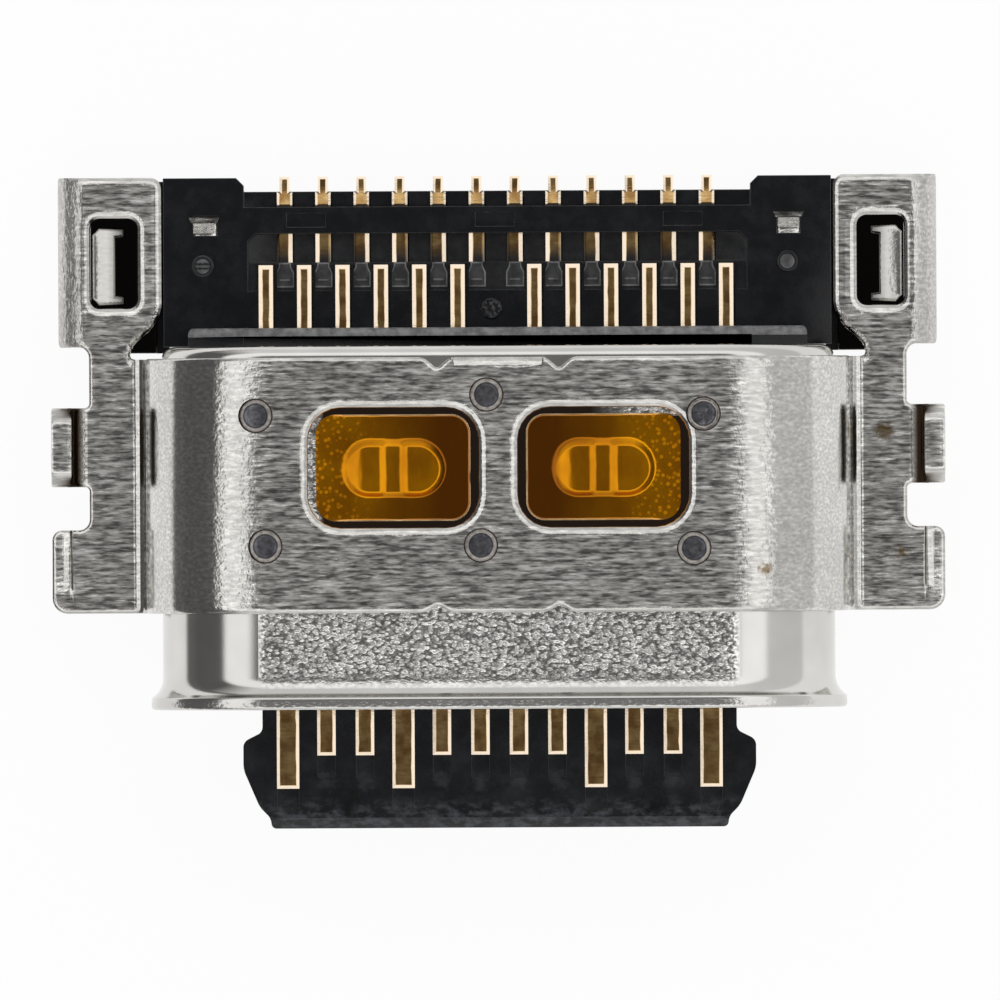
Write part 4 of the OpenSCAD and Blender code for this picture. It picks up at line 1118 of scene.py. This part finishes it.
def addPocket(bm, m, x):
    # flared hollow in the shelf at the end of a lead, with painted light on its floor, a painted highlight on
    # its edge and a short painted highlight line across
    worn = bm.faces.layers.float["worn"]
    before = set(bm.faces)
    corners = m["pocket"] + [(-px, py) for px, py in reversed(m["pocket"])]
    hollow = bm.faces.new([bm.verts.new((x + px, py, m["shelf"] + m["lift"])) for px, py in corners])
    hollow.normal_update()
    edge = bmesh.ops.inset_region(bm, faces=[hollow], thickness=m["pocketEdge"], use_even_offset=True,
                                  use_boundary=True)["faces"]
    for face in edge:
        face[worn] = m["pocketLightAndGlint"][1]
    hollow[worn] = m["pocketLightAndGlint"][0]
    bmesh.ops.solidify(bm, geom=[hollow] + edge, thickness=m["pocketThick"])
    half, front, rear, lineGlint = m["pocketLine"]
    line = bmesh.ops.create_cube(bm, size=1)["verts"]
    bmesh.ops.scale(bm, vec=(2 * half, rear - front, m["lineTall"]), verts=line)
    bmesh.ops.translate(bm, vec=(x, (front + rear) / 2, m["shelf"]), verts=line)
    for face in {face for vert in line for face in vert.link_faces}:
        face[worn] = lineGlint
    bmesh.ops.recalc_face_normals(bm, faces=list(set(bm.faces) - before))


def buildMarks(m):
    bm = bmesh.new()
    bm.faces.layers.float.new("worn")
    level = m["deck"] + m["lift"]
    for (x, y), wornOf in zip(m["pins"], (pinWorn, plainWorn)):
        spunMark(bm, m["pinRows"], x, y, level, 0.0, wornOf)
    spunMark(bm, m["gateRows"], *m["gate"], level, m["gateLumps"], gateWorn)
    faceUp(bm)
    start, pitch, count = m["leads"]
    for number in range(count):
        addPocket(bm, m, start + pitch * number)
    return bm


def buildEnds(m):
    bm = bmesh.new()
    level = m["deck"] + m["lift"]
    for x, y in m["ends"]:
        for corners in m["end"]:
            bm.faces.new([bm.verts.new((x + px, y + py, level + rise)) for px, py, rise in corners])
    bmesh.ops.solidify(bm, geom=bm.faces[:], thickness=m["endThick"])
    bmesh.ops.recalc_face_normals(bm, faces=bm.faces[:])
    return bm


addPiece("mould_marks_and_lit_pockets", buildMarks(marks), housingPlastic, ["rear_housing"])
addPiece("mid_plate_ends", buildEnds(marks), plateSteel, ["mid_plate"])
print("marks set")


# Stage: pale floor, soft world with a bright ring overhead, camera straight above

stage = {"floorHalf": 0.3, "floorGap": 0.00001, "floor": rgb(0.95, 0.95, 0.95), "floorGlow": 0.94,
         "darkLeft": (-13.5, -15.5), "darkShare": 0.9, "lens": 1000, "sensor": 36, "clip": (0.01, 10),
         "field": 13.0, "centre": (0.02, 2.705), "roll": 0.3, "lensDark": 0.19, "ring": 1.2,
         "ringAxis": (-0.075, 0, 0.997), "ringStart": (16.5, 25), "ringEnd": (48, 53),
         "sides": [(0.14, 0.12), (0.36, 0.86), (0.9, 0.7)]}


def buildFloor(g):
    bm = bmesh.new()
    bmesh.ops.create_grid(bm, x_segments=1, y_segments=1, size=g["floorHalf"])
    bmesh.ops.translate(bm, verts=bm.verts, vec=(0, 0, cadBox[0].z - g["floorGap"]))
    mesh = bpy.data.meshes.new("floor")
    bm.to_mesh(mesh)
    bm.free()
    material = bpy.data.materials.new("pale floor")
    material.use_nodes = True
    tree = material.node_tree
    tree.nodes.clear()
    output = addNode(tree, "OutputMaterial")
    path = addNode(tree, "LightPath")
    lit = addNode(tree, "BsdfDiffuse", {"Color": g["floor"]})
    farLeft = product(tree, rampInMm(tree, axesOf(tree)[0], *g["darkLeft"]), g["darkShare"])
    farLeft = product(tree, farLeft, path.outputs["Is Glossy Ray"])
    white = addNode(tree, "Emission", {"Color": rgb(1, 1, 1), "Strength": rampOf(tree, farLeft, 0, 1, 1, 0)})
    seen = mathOf(tree, "MAXIMUM", path.outputs["Is Camera Ray"], path.outputs["Is Glossy Ray"])
    seen = mathOf(tree, "MAXIMUM", seen, path.outputs["Is Transmission Ray"])
    share = product(tree, seen, g["floorGlow"])
    mixed = addNode(tree, "MixShader", {0: share, 1: lit.outputs[0], 2: white.outputs[0]})
    tree.links.new(mixed.outputs[0], output.inputs[0])
    mesh.materials.append(material)
    floor = bpy.data.objects.new("floor", mesh)
    bpy.context.scene.collection.objects.link(floor)


def buildWorld(g):
    world = bpy.data.worlds.new("studio")
    bpy.context.scene.world = world
    world.use_nodes = True
    tree = world.node_tree
    tree.nodes.clear()
    output = addNode(tree, "OutputWorld")
    way = addNode(tree, "TexCoord").outputs["Generated"]
    along = addNode(tree, "VectorMath", {0: way, 1: g["ringAxis"]}, operation="DOT_PRODUCT").outputs["Value"]
    degrees = product(tree, mathOf(tree, "ARCCOSINE", along), 180 / math.pi)
    ringIn = rampOf(tree, degrees, *g["ringStart"])
    ringOut = rampOf(tree, degrees, *g["ringEnd"])
    sides = addNode(tree, "ValToRGB", {0: rampOf(tree, axesOf(tree, "Generated")[0], -1, 1)})
    stops = sides.color_ramp.elements
    (stops[0].position, left), (between, middle), (stops[1].position, right) = g["sides"]
    stops[0].color, stops[1].color = rgb(left, left, left), rgb(right, right, right)
    stops.new(between).color = rgb(middle, middle, middle)
    ring = mixNumber(tree, ringIn, g["lensDark"], g["ring"])
    light = mixNumber(tree, ringOut, ring, sides.outputs[0])
    path = addNode(tree, "LightPath")
    strength = mixNumber(tree, path.outputs["Is Camera Ray"], light, 1.0)
    background = addNode(tree, "Background", {"Color": rgb(1, 1, 1), "Strength": strength})
    tree.links.new(background.outputs[0], output.inputs[0])


def buildCamera(g):
    data = bpy.data.cameras.new("camera")
    data.lens = g["lens"]
    data.sensor_width = g["sensor"]
    camera = bpy.data.objects.new("camera", data)
    bpy.context.scene.collection.objects.link(camera)
    distance = g["field"] / perMetre * g["lens"] / data.sensor_width
    camera.location = (g["centre"][0] / perMetre, g["centre"][1] / perMetre, distance)
    camera.rotation_euler = (0, 0, math.radians(-g["roll"]))
    data.clip_start, data.clip_end = g["clip"]
    bpy.context.scene.camera = camera


buildFloor(stage)
buildWorld(stage)
buildCamera(stage)
bpy.context.scene.view_settings.view_transform = "Standard"
print("stage set")
